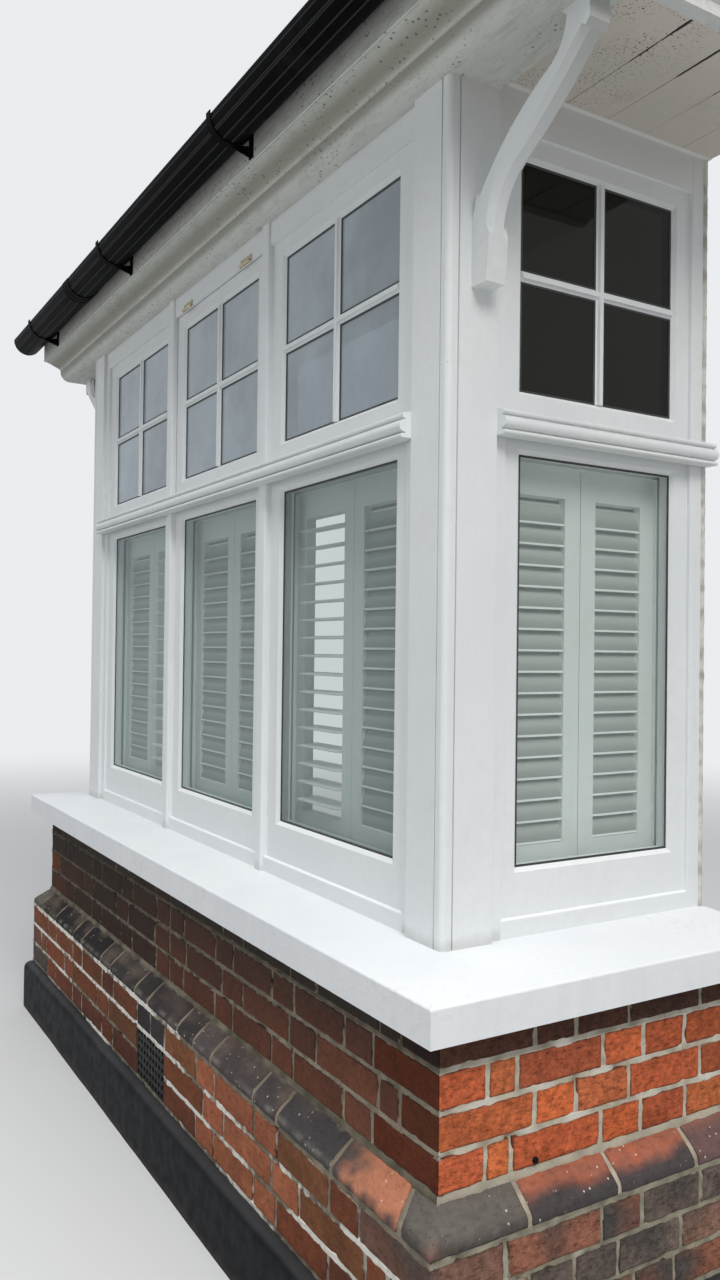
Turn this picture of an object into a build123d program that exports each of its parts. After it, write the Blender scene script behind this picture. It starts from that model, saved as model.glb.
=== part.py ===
"""Square bay window of a brick house, from the ground up to its lean-to roof.

Three lights wide and one light deep on each side. It stands on low brick walls with a splayed
plinth and carries a painted sill, a timber frame with a moulded transom, shutters behind the
lower lights, and a tiled canopy roof on a moulded eaves beam with curved side brackets.

X runs along the front, to the right as seen from outside. Y runs from the front into the house.
Z is up. The origin is on the ground, in the middle of the whole part. Lengths are millimetres.
"""

import os
from math import cos, radians, tan

from build123d import *

os.makedirs("parts", exist_ok=True)


def save(piece, node):
    """Label one finished piece and write it to its own file."""
    piece.part.label = node
    export_step(piece.part, f"parts/{node}.step")


def save_pair(piece, stem):
    """Write the right-hand piece and its mirror image on the left."""
    save(piece, stem + "_right")
    with BuildPart() as other:
        mirror(piece.part, about=Plane.YZ)
    save(other, stem + "_left")


# Plan, measured over the faces of the corner posts
bay_width = 2410
bay_depth = 760

# Heights of the masonry
masonry_height = 790
plinth_height = 440
splay_rise = 48
splay_depth = 56

# Brickwork, and how far its faces stand outside the posts
wall_thickness = 215
brick_out_front = 105
brick_out_side = 145

# Tarred skirt round the foot of the plinth
skirt_height = 190
skirt_thickness = 30
skirt_bevel = 22
skirt_round = 10

# Cast iron air brick in the middle of the plinth
air_brick_width = 221
air_brick_height = 144
air_brick_depth = 65
air_brick_bottom = 195
air_brick_recess = 3
air_hole = 13
air_hole_depth = 40
air_columns = 9
air_rows = 6

# Painted sill
sill_edge = 70
sill_fall = 15
sill_round = 5
sill_out_front = 173
sill_out_side = 214
drip_width = 12
drip_depth = 8
drip_inset = 25

# Timber frame
frame_depth = 100
post_size = 126
lining_width = 32
lining_setback = 12
jamb_width = 50
mullion_width = 42
mullion_setback = 4
mullion_round = 7
cill_height = 40
cill_round = 5
lower_light_height = 1003
transom_height = 44
upper_light_height = 585
head_height = 61
soffit_step = 24
jamb_round = 4
corner_bead = 12
quirk_width = 4
quirk_depth = 5

# Sashes and glass
sash_setback = 22
sash_thickness = 37
stile_front = 62
stile_side = 52
lower_bottom_rail = 101
lower_top_rail = 40
upper_bottom_rail = 50
upper_top_rail = 50
glazing_bevel = 10
glass_setback = 33
glass_thickness = 20

# Moulded nose of the transom, from its top down: a bead, a torus and a lip, parted by quirks
nose_out = 28
nose_drop = 13
nose_bead = 11
nose_bead_set = 7
nose_torus = 26
nose_lip = 9
nose_lip_set = 3
nose_quirk = 3
nose_quirk_depth = 7
nose_sash_gap = 4

# Shutters behind the lower lights
shutter_setback = 74
shutter_frame_width = 43
shutter_frame_depth = 38
shutter_thickness = 28
shutter_stile = 45
shutter_top_rail = 67
shutter_bottom_rail = 86
shutter_clearance = 0.3
shutter_joint = 2
louvre_count = 16
louvre_blade = 63
louvre_thickness = 9
louvre_edge = 2.5
louvre_margin = 8
louvre_tenon = 4
louvre_closed = 70
louvre_open = 4

# Inside of the bay
board_thickness = 25
board_lap = 15
board_width = 60
board_round = 8
ceiling_thickness = 25

# Eaves
eaves_side_out = 370
ovolo_out = 42
ovolo_rise = 35
cove_out = 8
cove_rise = 16
band_rise = 16
beam_height = 122
fascia_out = 112
fascia_thickness = 25
fascia_height = 100
fascia_slope = 8
fascia_bead = 7
fascia_bead_set = 2.5
soffit_thickness = 18
end_board_thickness = 25
end_board_drop = 7
verge_bead_out = 14
verge_bead_height = 46
verge_bead_set = 6

# Lean-to roof
roof_pitch = 32
roof_thickness = 45
roof_drip = 38
roof_verge = 35
rafter_width = 50
rafter_depth = 100
rafter_count = 8
ledger_thickness = 50
ledger_depth = 150
flashing_thickness = 3
flashing_lap_width = 150
flashing_upstand_height = 90

# Gutter and its brackets
gutter_radius = 56
gutter_wall = 3
gutter_drop = 10
gutter_lip_bead = 3.5
gutter_stop = 4
gutter_past_roof = 10
strap_gap = 0.3
strap_thickness = 3
strap_width = 22
strap_clip = 9
strap_tail = 76
strap_web = 4
strap_web_out = 46
strap_place = -1343
strap_pitch = 930
strap_count = 4
union_width = 62
union_wall = 2
union_rib = 1
union_rib_width = 6
union_place = -800

# Curved brackets under the side eaves
bracket_setback = 57
bracket_thickness = 48
bracket_height = 416
bracket_reach = 328
bracket_foot_width = 47
bracket_foot_lean = 8
bracket_head_width = 72
bracket_chamfer = 12

# Where the bracket's outline turns, as shares of its reach and of its height
outer_foot_rise = 0.22
outer_turn_share = (0.378, 0.517)
outer_bow_share = (0.695, 0.685)
outer_stop_share = (0.968, 0.866)
outer_head_rise = 0.895
inner_foot_rise = 0.33
inner_start_share = (0.046, 0.44)
inner_bow_share = (0.317, 0.656)
inner_turn_share = (0.659, 0.82)

# Butt hinges over the middle upper light
hinge_spacing = 440
hinge_length = 72
hinge_leaf = 18
hinge_barrel = 4.5
hinge_clearance = 0.3
leaf_thickness = 2

# Planes and edges that several pieces share
bay_half = bay_width / 2
strap_radius = gutter_radius + strap_gap + strap_thickness
gutter_axis_out = fascia_out + strap_radius
house_y = (bay_depth + gutter_axis_out + strap_radius) / 2
front_y = house_y - bay_depth
sill_edge_top = masonry_height + sill_edge
sill_top = sill_edge_top + sill_fall
cill_top = sill_top + cill_height
transom_bottom = cill_top + lower_light_height
transom_top = transom_bottom + transom_height
head_bottom = transom_top + upper_light_height
beam_bottom = head_bottom + head_height
soffit_bottom = beam_bottom + soffit_step
frame_back_y = front_y + frame_depth
frame_back_x = bay_half - frame_depth
opening_half = bay_half - post_size - lining_width
side_opening_front = front_y + post_size + lining_width
side_opening_back = house_y - jamb_width
eaves_half = bay_half + eaves_side_out
beam_back_y = front_y + post_size


def front_plane(setback):
    """A plane on the front, facing out, this far behind the posts' face."""
    return Plane(origin=(0, front_y + setback, 0), x_dir=(1, 0, 0), z_dir=(0, -1, 0))


def side_plane(setback):
    """A plane on the right side, facing out, this far behind the posts' face."""
    return Plane(origin=(bay_half - setback, 0, 0), x_dir=(0, 1, 0), z_dir=(1, 0, 0))


def house_plane(y):
    """An upright plane across the bay that faces the front."""
    return Plane.XZ.offset(-y)


# Brick walls

wall_half = bay_half + brick_out_side
plinth_half = wall_half + splay_depth
wall_front = front_y - brick_out_front
plinth_front = wall_front - splay_depth
wall_inner_y = wall_front + wall_thickness
wall_inner_x = wall_half - wall_thickness
splay_top = plinth_height + splay_rise

with BuildPart() as brick_wall_front:
    with BuildSketch(Plane.YZ):
        with BuildLine():
            Polyline(
                (plinth_front, 0),
                (plinth_front, plinth_height),
                (wall_front, splay_top),
                (wall_front, masonry_height),
                (wall_inner_y, masonry_height),
                (wall_inner_y, 0),
                close=True,
            )
        make_face()
    extrude(amount=plinth_half, both=True)
    with BuildSketch(house_plane(wall_inner_y)):
        with BuildLine():
            Polyline(
                (-plinth_half, 0),
                (-plinth_half, plinth_height),
                (-wall_half, splay_top),
                (-wall_half, masonry_height),
                (wall_half, masonry_height),
                (wall_half, splay_top),
                (plinth_half, plinth_height),
                (plinth_half, 0),
                close=True,
            )
        make_face()
    extrude(amount=wall_inner_y - plinth_front, mode=Mode.INTERSECT)
    with BuildSketch(house_plane(plinth_front)):
        with Locations((0, air_brick_bottom)):
            Rectangle(air_brick_width, air_brick_height, align=(Align.CENTER, Align.MIN))
    extrude(amount=-air_brick_recess - air_brick_depth, mode=Mode.SUBTRACT)
save(brick_wall_front, "brick_wall_front")

with BuildPart() as brick_wall_side:
    with BuildSketch(house_plane(house_y)):
        with BuildLine():
            Polyline(
                (wall_inner_x, 0),
                (plinth_half, 0),
                (plinth_half, plinth_height),
                (wall_half, splay_top),
                (wall_half, masonry_height),
                (wall_inner_x, masonry_height),
                close=True,
            )
        make_face()
    extrude(amount=house_y - wall_inner_y)
save_pair(brick_wall_side, "brick_wall")

# Air brick

with BuildPart() as air_brick:
    with BuildSketch(house_plane(plinth_front + air_brick_recess)):
        with Locations((0, air_brick_bottom)):
            Rectangle(air_brick_width, air_brick_height, align=(Align.CENTER, Align.MIN))
    extrude(amount=-air_brick_depth)
    with BuildSketch(house_plane(plinth_front + air_brick_recess)):
        with Locations((0, air_brick_bottom + air_brick_height / 2)):
            with GridLocations(
                air_brick_width / air_columns, air_brick_height / air_rows, air_columns, air_rows
            ):
                Rectangle(air_hole, air_hole)
    extrude(amount=-air_hole_depth, mode=Mode.SUBTRACT)
save(air_brick, "air_brick")

# Tarred skirt

skirt_front_y = plinth_front - skirt_thickness
skirt_half = plinth_half + skirt_thickness
skirt_shoulder = skirt_height - skirt_bevel

with BuildPart() as skirt_front:
    with BuildSketch(Plane.YZ):
        with BuildLine():
            Polyline(
                (skirt_front_y, 0),
                (skirt_front_y, skirt_shoulder),
                (plinth_front, skirt_height),
                (plinth_front, 0),
                close=True,
            )
        make_face()
    extrude(amount=skirt_half, both=True)
    with BuildSketch(house_plane(plinth_front)):
        with BuildLine():
            Polyline(
                (-skirt_half, 0),
                (-skirt_half, skirt_shoulder),
                (-plinth_half, skirt_height),
                (plinth_half, skirt_height),
                (skirt_half, skirt_shoulder),
                (skirt_half, 0),
                close=True,
            )
        make_face()
    extrude(amount=skirt_thickness, mode=Mode.INTERSECT)
    shoulder = skirt_front.edges().filter_by(Axis.X).filter_by_position(
        Axis.Z, skirt_shoulder, skirt_shoulder
    )
    fillet(shoulder, radius=skirt_round)
save(skirt_front, "skirt_front")

with BuildPart() as skirt_sides:
    with BuildSketch(house_plane(house_y)):
        with BuildLine():
            Polyline(
                (plinth_half, 0),
                (skirt_half, 0),
                (skirt_half, skirt_shoulder),
                (plinth_half, skirt_height),
                close=True,
            )
        make_face()
    extrude(amount=house_y - plinth_front)
    shoulder = skirt_sides.edges().filter_by(Axis.Y).filter_by_position(
        Axis.Z, skirt_shoulder, skirt_shoulder
    )
    fillet(shoulder, radius=skirt_round)
    mirror(about=Plane.YZ)
save(skirt_sides, "skirt_sides")

# Sill

sill_half = bay_half + sill_out_side
sill_front_y = front_y - sill_out_front
drip_x = sill_half - drip_inset
drip_y = sill_front_y + drip_inset

with BuildPart() as sill_front:
    with BuildSketch(Plane.YZ):
        with BuildLine():
            Polyline(
                (sill_front_y, masonry_height),
                (sill_front_y, sill_edge_top),
                (front_y, sill_top),
                (frame_back_y, sill_top),
                (frame_back_y, masonry_height),
                close=True,
            )
        make_face()
    extrude(amount=sill_half, both=True)
    with BuildSketch(house_plane(frame_back_y)):
        with BuildLine():
            Polyline(
                (-sill_half, masonry_height),
                (-sill_half, sill_edge_top),
                (-bay_half, sill_top),
                (bay_half, sill_top),
                (sill_half, sill_edge_top),
                (sill_half, masonry_height),
                close=True,
            )
        make_face()
    extrude(amount=frame_back_y - sill_front_y, mode=Mode.INTERSECT)
    outer_edges = sill_front.edges().filter_by_position(Axis.Z, sill_edge_top, sill_edge_top)
    fillet(outer_edges, radius=sill_round)
    with BuildSketch(Plane.XY.offset(masonry_height)):
        with Locations((0, drip_y)):
            Rectangle(2 * drip_x + drip_width, drip_width)
        with Locations((-drip_x, frame_back_y), (drip_x, frame_back_y)):
            Rectangle(drip_width, frame_back_y - drip_y, align=(Align.CENTER, Align.MAX))
    extrude(amount=drip_depth, mode=Mode.SUBTRACT)
save(sill_front, "sill_front")

with BuildPart() as sill_side:
    with BuildSketch(house_plane(house_y)):
        with BuildLine():
            Polyline(
                (frame_back_x, masonry_height),
                (sill_half, masonry_height),
                (sill_half, sill_edge_top),
                (bay_half, sill_top),
                (frame_back_x, sill_top),
                close=True,
            )
        make_face()
        with Locations((drip_x, masonry_height)):
            Rectangle(drip_width, 2 * drip_depth, mode=Mode.SUBTRACT)
    extrude(amount=house_y - frame_back_y)
    outer_edges = sill_side.edges().filter_by_position(Axis.Z, sill_edge_top, sill_edge_top)
    fillet(outer_edges, radius=sill_round)
save_pair(sill_side, "sill")

# Corner posts with a staff bead on the corner

with BuildPart() as corner_post:
    with BuildSketch(Plane.XY.offset(sill_top)):
        with Locations((bay_half, front_y)):
            Rectangle(post_size, post_size, align=(Align.MAX, Align.MIN))
        corner = vertices().sort_by_distance((bay_half, front_y, 0))[0]
        fillet(corner, radius=corner_bead)
        with Locations((bay_half - 2 * corner_bead - quirk_width / 2, front_y)):
            Rectangle(quirk_width, 2 * quirk_depth, mode=Mode.SUBTRACT)
        with Locations((bay_half, front_y + 2 * corner_bead + quirk_width / 2)):
            Rectangle(2 * quirk_depth, quirk_width, mode=Mode.SUBTRACT)
        with Locations((bay_half - post_size, front_y + lining_setback)):
            Rectangle(lining_width, frame_depth - lining_setback, align=(Align.MAX, Align.MIN))
    extrude(amount=beam_bottom - sill_top)
    with BuildSketch(Plane.XY.offset(sill_top)):
        with Locations((bay_half - lining_setback, front_y + post_size)):
            Rectangle(frame_depth - lining_setback, lining_width, align=(Align.MAX, Align.MIN))
    extrude(amount=soffit_bottom - sill_top)
save_pair(corner_post, "corner_post")

# Jambs against the house wall

with BuildPart() as wall_jambs:
    with BuildSketch(Plane.XY.offset(sill_top)):
        with Locations((bay_half - lining_setback, house_y)):
            Rectangle(frame_depth - lining_setback, jamb_width, align=(Align.MAX, Align.MAX))
    extrude(amount=soffit_bottom - sill_top)
    outer_edge = wall_jambs.edges().filter_by(Axis.Z).sort_by_distance(
        (bay_half, side_opening_back, sill_top)
    )[0]
    fillet(outer_edge, radius=jamb_round)
    mirror(about=Plane.YZ)
save(wall_jambs, "wall_jambs")

# Cill and head rails, each between the posts and the jambs

side_opening = side_opening_back - side_opening_front
rail_depth = frame_depth - lining_setback

with BuildPart() as frame_cill:
    with BuildSketch(Plane.XY.offset(sill_top)):
        with Locations((0, front_y + lining_setback)):
            Rectangle(2 * opening_half, rail_depth, align=(Align.CENTER, Align.MIN))
        with Locations((bay_half - lining_setback, side_opening_front)):
            Rectangle(rail_depth, side_opening, align=(Align.MAX, Align.MIN))
        with Locations((-bay_half + lining_setback, side_opening_front)):
            Rectangle(rail_depth, side_opening, align=(Align.MIN, Align.MIN))
    extrude(amount=cill_height)
    upper_edges = frame_cill.edges().group_by(Axis.Z)[-1]
    front_edge = upper_edges.filter_by(Axis.X).sort_by(Axis.Y)[0]
    side_edges = upper_edges.filter_by(Axis.Y).sort_by(Axis.X)
    fillet([front_edge, side_edges[0], side_edges[-1]], radius=cill_round)
save(frame_cill, "frame_cill")

with BuildPart() as frame_head:
    with BuildSketch(Plane.XY.offset(head_bottom)):
        with Locations((0, front_y + lining_setback)):
            Rectangle(2 * opening_half, rail_depth, align=(Align.CENTER, Align.MIN))
    extrude(amount=beam_bottom - head_bottom)
    with BuildSketch(Plane.XY.offset(head_bottom)):
        with Locations((bay_half - lining_setback, side_opening_front)):
            Rectangle(rail_depth, side_opening, align=(Align.MAX, Align.MIN))
        with Locations((-bay_half + lining_setback, side_opening_front)):
            Rectangle(rail_depth, side_opening, align=(Align.MIN, Align.MIN))
    extrude(amount=soffit_bottom - head_bottom)
save(frame_head, "frame_head")

# Lights between the posts and the mullions

light_count = 3
light_width = (2 * opening_half - (light_count - 1) * mullion_width) / light_count
light_pitch = light_width + mullion_width
light_places = [(i - (light_count - 1) / 2) * light_pitch for i in range(light_count)]
mullion_places = [(i - light_count / 2) * light_pitch for i in range(1, light_count)]
side_place = (side_opening_front + side_opening_back) / 2

nose_bottom = transom_bottom - nose_drop
mullion_fronts = [(x, front_y + mullion_setback) for x in mullion_places]

with BuildPart() as mullions:
    for foot, top in ((cill_top, nose_bottom), (transom_top, head_bottom)):
        with BuildSketch(Plane.XY.offset(foot)):
            with Locations(*mullion_fronts):
                Rectangle(mullion_width, frame_depth - mullion_setback, align=(Align.CENTER, Align.MIN))
            fillet(vertices().group_by(Axis.Y)[0], radius=mullion_round)
        extrude(amount=top - foot)
    for foot, top in ((sill_top, cill_top), (head_bottom, beam_bottom)):
        with BuildSketch(Plane.XY.offset(foot)):
            with Locations(*mullion_fronts):
                Rectangle(
                    mullion_width, lining_setback - mullion_setback, align=(Align.CENTER, Align.MIN)
                )
            fillet(vertices().group_by(Axis.Y)[0], radius=mullion_round)
        extrude(amount=top - foot)
    with BuildSketch(Plane.XY.offset(nose_bottom)):
        with Locations(*[(x, front_y + lining_setback) for x in mullion_places]):
            Rectangle(mullion_width, rail_depth, align=(Align.CENTER, Align.MIN))
    extrude(amount=nose_drop)
save(mullions, "mullions")

# Transom, with its moulded nose in front of the rail


def transom_nose():
    """Sketch the nose: x points out of the rail's face, y up from the rail's underside."""
    out = nose_out + lining_setback
    lip_top = nose_lip - nose_drop
    torus_foot = lip_top + nose_quirk
    torus_top = torus_foot + nose_torus
    bead_foot = torus_top + nose_quirk
    bead_top = bead_foot + nose_bead
    lip_line = out - nose_lip_set - nose_lip / 2
    bead_line = out - nose_bead_set - nose_bead / 2
    quirk_line = out - nose_bead_set - nose_quirk_depth
    torus_line = out - nose_torus / 2
    with BuildSketch() as nose:
        with BuildLine():
            Polyline((0, 0), (nose_sash_gap, 0), (nose_sash_gap, -nose_drop), (lip_line, -nose_drop))
            ThreePointArc(
                (lip_line, -nose_drop),
                (lip_line + nose_lip / 2, lip_top - nose_lip / 2),
                (lip_line, lip_top),
            )
            Polyline(
                (lip_line, lip_top),
                (quirk_line, lip_top),
                (quirk_line, torus_foot),
                (torus_line, torus_foot),
            )
            ThreePointArc(
                (torus_line, torus_foot),
                (out, torus_foot + nose_torus / 2),
                (torus_line, torus_top),
            )
            Polyline(
                (torus_line, torus_top),
                (quirk_line, torus_top),
                (quirk_line, bead_foot),
                (bead_line, bead_foot),
            )
            ThreePointArc(
                (bead_line, bead_foot),
                (bead_line + nose_bead / 2, bead_foot + nose_bead / 2),
                (bead_line, bead_top),
            )
            Polyline((bead_line, bead_top), (0, transom_height), (0, 0))
        make_face()
    return nose.sketch


nose_profile = transom_nose()
nose_half = bay_half - post_size
front_nose_plane = Plane(
    origin=(-nose_half, front_y + lining_setback, transom_bottom), x_dir=(0, -1, 0), z_dir=(-1, 0, 0)
)
side_nose_plane = Plane(
    origin=(bay_half - lining_setback, front_y + post_size, transom_bottom),
    x_dir=(1, 0, 0),
    z_dir=(0, -1, 0),
)

with BuildPart() as transom_front:
    with BuildSketch(Plane.XY.offset(transom_bottom)):
        with Locations((0, front_y + lining_setback)):
            Rectangle(2 * opening_half, rail_depth, align=(Align.CENTER, Align.MIN))
    extrude(amount=transom_height)
    with BuildSketch(front_nose_plane):
        add(nose_profile)
    extrude(amount=-2 * nose_half)
save(transom_front, "transom_front")

with BuildPart() as transom_side:
    with BuildSketch(Plane.XY.offset(transom_bottom)):
        with Locations((bay_half - lining_setback, side_opening_front)):
            Rectangle(rail_depth, side_opening, align=(Align.MAX, Align.MIN))
    extrude(amount=transom_height)
    with BuildSketch(side_nose_plane):
        add(nose_profile)
    extrude(amount=-(bay_depth - post_size))
save_pair(transom_side, "transom")

# Sashes, made in their own frame: x across, y into the house from the outer face, z up


def sash(width, foot, top, bottom_rail, top_rail, stile):
    """One glazed sash with bevelled glazing edges on its outer face."""
    with BuildPart() as leaf:
        with BuildSketch(Plane.XZ):
            with Locations((0, foot)):
                Rectangle(width, top - foot, align=(Align.CENTER, Align.MIN))
        extrude(amount=-sash_thickness)
        with BuildSketch(Plane.XZ):
            with Locations((0, foot + bottom_rail)):
                Rectangle(
                    width - 2 * stile,
                    top - top_rail - foot - bottom_rail,
                    align=(Align.CENTER, Align.MIN),
                )
        extrude(amount=-sash_thickness, mode=Mode.SUBTRACT)
        glazing_edges = leaf.faces().sort_by(Axis.Y)[0].inner_wires()[0].edges()
        chamfer(glazing_edges, length=glazing_bevel)
    return leaf.part


def pane(width, foot, top, bottom_rail, top_rail, stile):
    """The glass that fills the opening of the same sash."""
    with BuildPart() as glass:
        with BuildSketch(Plane.XZ.offset(sash_setback - glass_setback)):
            with Locations((0, foot + bottom_rail)):
                Rectangle(
                    width - 2 * stile,
                    top - top_rail - foot - bottom_rail,
                    align=(Align.CENTER, Align.MIN),
                )
        extrude(amount=-glass_thickness)
    return glass.part


def on_front(setback):
    """Where a front light's own frame stands, one place for each light."""
    return [Location((x, front_y + setback, 0)) for x in light_places]


def on_side(setback):
    """Where the right side light's own frame stands."""
    return [Location((bay_half - setback, side_place, 0), (0, 0, 90))]


lower_rails = (cill_top, transom_bottom, lower_bottom_rail, lower_top_rail)
upper_rails = (transom_top, head_bottom, upper_bottom_rail, upper_top_rail)

with BuildPart() as lower_sashes_front:
    with Locations(*on_front(sash_setback)):
        add(sash(light_width, *lower_rails, stile_front))
save(lower_sashes_front, "lower_sashes_front")

with BuildPart() as lower_sash_side:
    with Locations(*on_side(sash_setback)):
        add(sash(side_opening, *lower_rails, stile_side))
save_pair(lower_sash_side, "lower_sash")

with BuildPart() as top_lights_front:
    with Locations(*on_front(sash_setback)):
        add(sash(light_width, *upper_rails, stile_front))
save(top_lights_front, "top_lights_front")

with BuildPart() as top_light_side:
    with Locations(*on_side(sash_setback)):
        add(sash(side_opening, *upper_rails, stile_side))
save_pair(top_light_side, "top_light")

with BuildPart() as glass_front:
    with Locations(*on_front(sash_setback)):
        add(pane(light_width, *lower_rails, stile_front))
        add(pane(light_width, *upper_rails, stile_front))
save(glass_front, "glass_front")

with BuildPart() as glass_side:
    with Locations(*on_side(sash_setback)):
        add(pane(side_opening, *lower_rails, stile_side))
        add(pane(side_opening, *upper_rails, stile_side))
save_pair(glass_side, "glass")

# Shutters: a fixed frame round two panels of louvres, in the same kind of frame

shutter_height = transom_bottom - cill_top
panel_foot = cill_top + shutter_frame_width + shutter_clearance
panel_height = shutter_height - 2 * shutter_frame_width - 2 * shutter_clearance
louvre_field = panel_height - shutter_bottom_rail - shutter_top_rail
louvre_pitch = (louvre_field - 2 * louvre_margin) / louvre_count
louvre_middle = panel_foot + shutter_bottom_rail + louvre_field / 2
panel_setback = shutter_frame_depth - shutter_thickness


def shutter_frame(width):
    """The fixed frame that lines one light."""
    with BuildPart() as lining:
        with BuildSketch(Plane.XZ):
            with Locations((0, cill_top + shutter_height / 2)):
                Rectangle(width, shutter_height)
                Rectangle(
                    width - 2 * shutter_frame_width,
                    shutter_height - 2 * shutter_frame_width,
                    mode=Mode.SUBTRACT,
                )
        extrude(amount=-shutter_frame_depth)
    return lining.part


def shutter_panel(width, middle, turn):
    """One panel about this middle, with every blade turned from level by this angle."""
    blade_length = width - 2 * shutter_stile
    blade_middle = panel_setback + shutter_thickness / 2
    with BuildPart() as panel:
        with BuildSketch(Plane.XZ.offset(-panel_setback)):
            with Locations((middle, panel_foot)):
                Rectangle(width, panel_height, align=(Align.CENTER, Align.MIN))
            with Locations((middle, louvre_middle)):
                Rectangle(blade_length, louvre_field, mode=Mode.SUBTRACT)
        extrude(amount=-shutter_thickness)
        with BuildSketch(Plane.YZ.offset(middle)):
            with Locations((blade_middle, louvre_middle)):
                with GridLocations(0, louvre_pitch, 1, louvre_count):
                    Polygon(
                        (-louvre_blade / 2, louvre_edge / 2),
                        (-louvre_blade / 2, -louvre_edge / 2),
                        (0, -louvre_thickness / 2),
                        (louvre_blade / 2, -louvre_edge / 2),
                        (louvre_blade / 2, louvre_edge / 2),
                        (0, louvre_thickness / 2),
                        rotation=turn,
                        align=None,
                    )
        extrude(amount=blade_length / 2 + louvre_tenon, both=True)
    return panel.part


def panel_width(width):
    """The width of each of the two panels in a light."""
    return (width - 2 * shutter_frame_width - 2 * shutter_clearance - shutter_joint) / 2


def panel_middle(width):
    """How far the middle of a panel lies from the middle of its light."""
    return (panel_width(width) + shutter_joint) / 2


front_panel = panel_width(light_width)
front_middle = panel_middle(light_width)
side_panel = panel_width(side_opening)
side_middle = panel_middle(side_opening)
left_light, middle_light, right_light = on_front(shutter_setback)

with BuildPart() as shutters_front:
    with Locations(left_light, middle_light, right_light):
        add(shutter_frame(light_width))
    with Locations(left_light, middle_light):
        add(shutter_panel(front_panel, -front_middle, louvre_closed))
    with Locations(middle_light, right_light):
        add(shutter_panel(front_panel, front_middle, louvre_closed))
    with Locations(right_light):
        add(shutter_panel(front_panel, -front_middle, louvre_open))
    with Locations(left_light):
        add(shutter_panel(front_panel, front_middle, louvre_open))
save(shutters_front, "shutters_front")

with BuildPart() as shutters_side:
    with Locations(*on_side(shutter_setback)):
        add(shutter_frame(side_opening))
        add(shutter_panel(side_panel, -side_middle, louvre_closed))
        add(shutter_panel(side_panel, side_middle, louvre_closed))
save_pair(shutters_side, "shutters")

# Board round the inside, and the ceiling

post_inner_x = bay_half - post_size
board_inner_x = frame_back_x - board_width
board_inner_y = frame_back_y + board_width

with BuildPart() as window_board:
    with BuildSketch(Plane.XY.offset(sill_top - board_lap)):
        with BuildLine():
            Polyline(
                (-post_inner_x, frame_back_y),
                (post_inner_x, frame_back_y),
                (post_inner_x, beam_back_y),
                (frame_back_x, beam_back_y),
                (frame_back_x, house_y),
                (board_inner_x, house_y),
                (board_inner_x, board_inner_y),
                (-board_inner_x, board_inner_y),
                (-board_inner_x, house_y),
                (-frame_back_x, house_y),
                (-frame_back_x, beam_back_y),
                (-post_inner_x, beam_back_y),
                close=True,
            )
        make_face()
    extrude(amount=board_thickness)
    nosing = window_board.edges().group_by(Axis.Z)[-1].filter_by_position(
        Axis.X, -board_inner_x, board_inner_x
    ).filter_by_position(Axis.Y, board_inner_y, house_y)
    fillet(nosing.filter_by(lambda edge: edge.length > board_width), radius=board_round)
save(window_board, "window_board")

with BuildPart() as bay_ceiling:
    with BuildSketch(Plane.XY.offset(soffit_bottom)):
        with Locations((0, house_y)):
            Rectangle(bay_width, house_y - beam_back_y, align=(Align.CENTER, Align.MAX))
    extrude(amount=ceiling_thickness)
save(bay_ceiling, "bay_ceiling")

# Moulded eaves beam across the front

band_bottom = beam_bottom + ovolo_rise + cove_rise
beam_top = beam_bottom + beam_height
fascia_back_y = front_y - fascia_out + fascia_thickness
fascia_front_y = front_y - fascia_out
fascia_bottom = band_bottom + band_rise
ovolo_y = front_y - ovolo_out
band_y = ovolo_y - cove_out
half_right_angle = 45
arc_along = cos(radians(half_right_angle))
arc_short = 1 - arc_along
ovolo_mid = (front_y - ovolo_out * arc_along, beam_bottom + ovolo_rise * arc_short)
cove_mid = (ovolo_y - cove_out * arc_short, band_bottom - cove_rise * arc_short)

with BuildPart() as eaves_beam:
    with BuildSketch(Plane.YZ):
        with BuildLine():
            ThreePointArc((front_y, beam_bottom), ovolo_mid, (ovolo_y, beam_bottom + ovolo_rise))
            ThreePointArc((ovolo_y, beam_bottom + ovolo_rise), cove_mid, (band_y, band_bottom))
            Polyline(
                (band_y, band_bottom),
                (fascia_back_y, fascia_bottom),
                (fascia_back_y, beam_top),
                (beam_back_y, beam_top),
                (beam_back_y, beam_bottom),
                (front_y, beam_bottom),
            )
        make_face()
    extrude(amount=eaves_half, both=True)
save(eaves_beam, "eaves_beam")

# Soffit boards over the sides, from the beam to the house

end_board_x = eaves_half - end_board_thickness

with BuildPart() as side_soffits:
    with BuildSketch(Plane.XY.offset(soffit_bottom)):
        with Locations((bay_half, house_y)):
            Rectangle(end_board_x - bay_half, house_y - beam_back_y, align=(Align.MIN, Align.MAX))
        mirror(about=Plane.YZ)
    extrude(amount=soffit_thickness)
save(side_soffits, "side_soffits")

# Fascia and the boards that close the roof's ends

pitch_rise = tan(radians(roof_pitch))
roof_eaves_height = fascia_bottom + fascia_height
gutter_lip_height = roof_eaves_height - gutter_drop


def under_roof(y):
    """Height of the roof's underside above this line."""
    return roof_eaves_height + (y - fascia_front_y) * pitch_rise


fascia_slope_top = fascia_bottom + fascia_slope

with BuildPart() as fascia:
    with BuildSketch(Plane.YZ):
        with BuildLine():
            Polyline(
                (fascia_back_y, fascia_bottom),
                (fascia_back_y, under_roof(fascia_back_y)),
                (fascia_front_y, under_roof(fascia_front_y)),
                (fascia_front_y, fascia_slope_top),
                close=True,
            )
        make_face()
        with Locations((fascia_front_y + fascia_bead_set, fascia_slope_top)):
            Circle(fascia_bead / 2)
    extrude(amount=eaves_half, both=True)
save(fascia, "fascia")

verge_bead_top = soffit_bottom - end_board_drop + verge_bead_height

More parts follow.
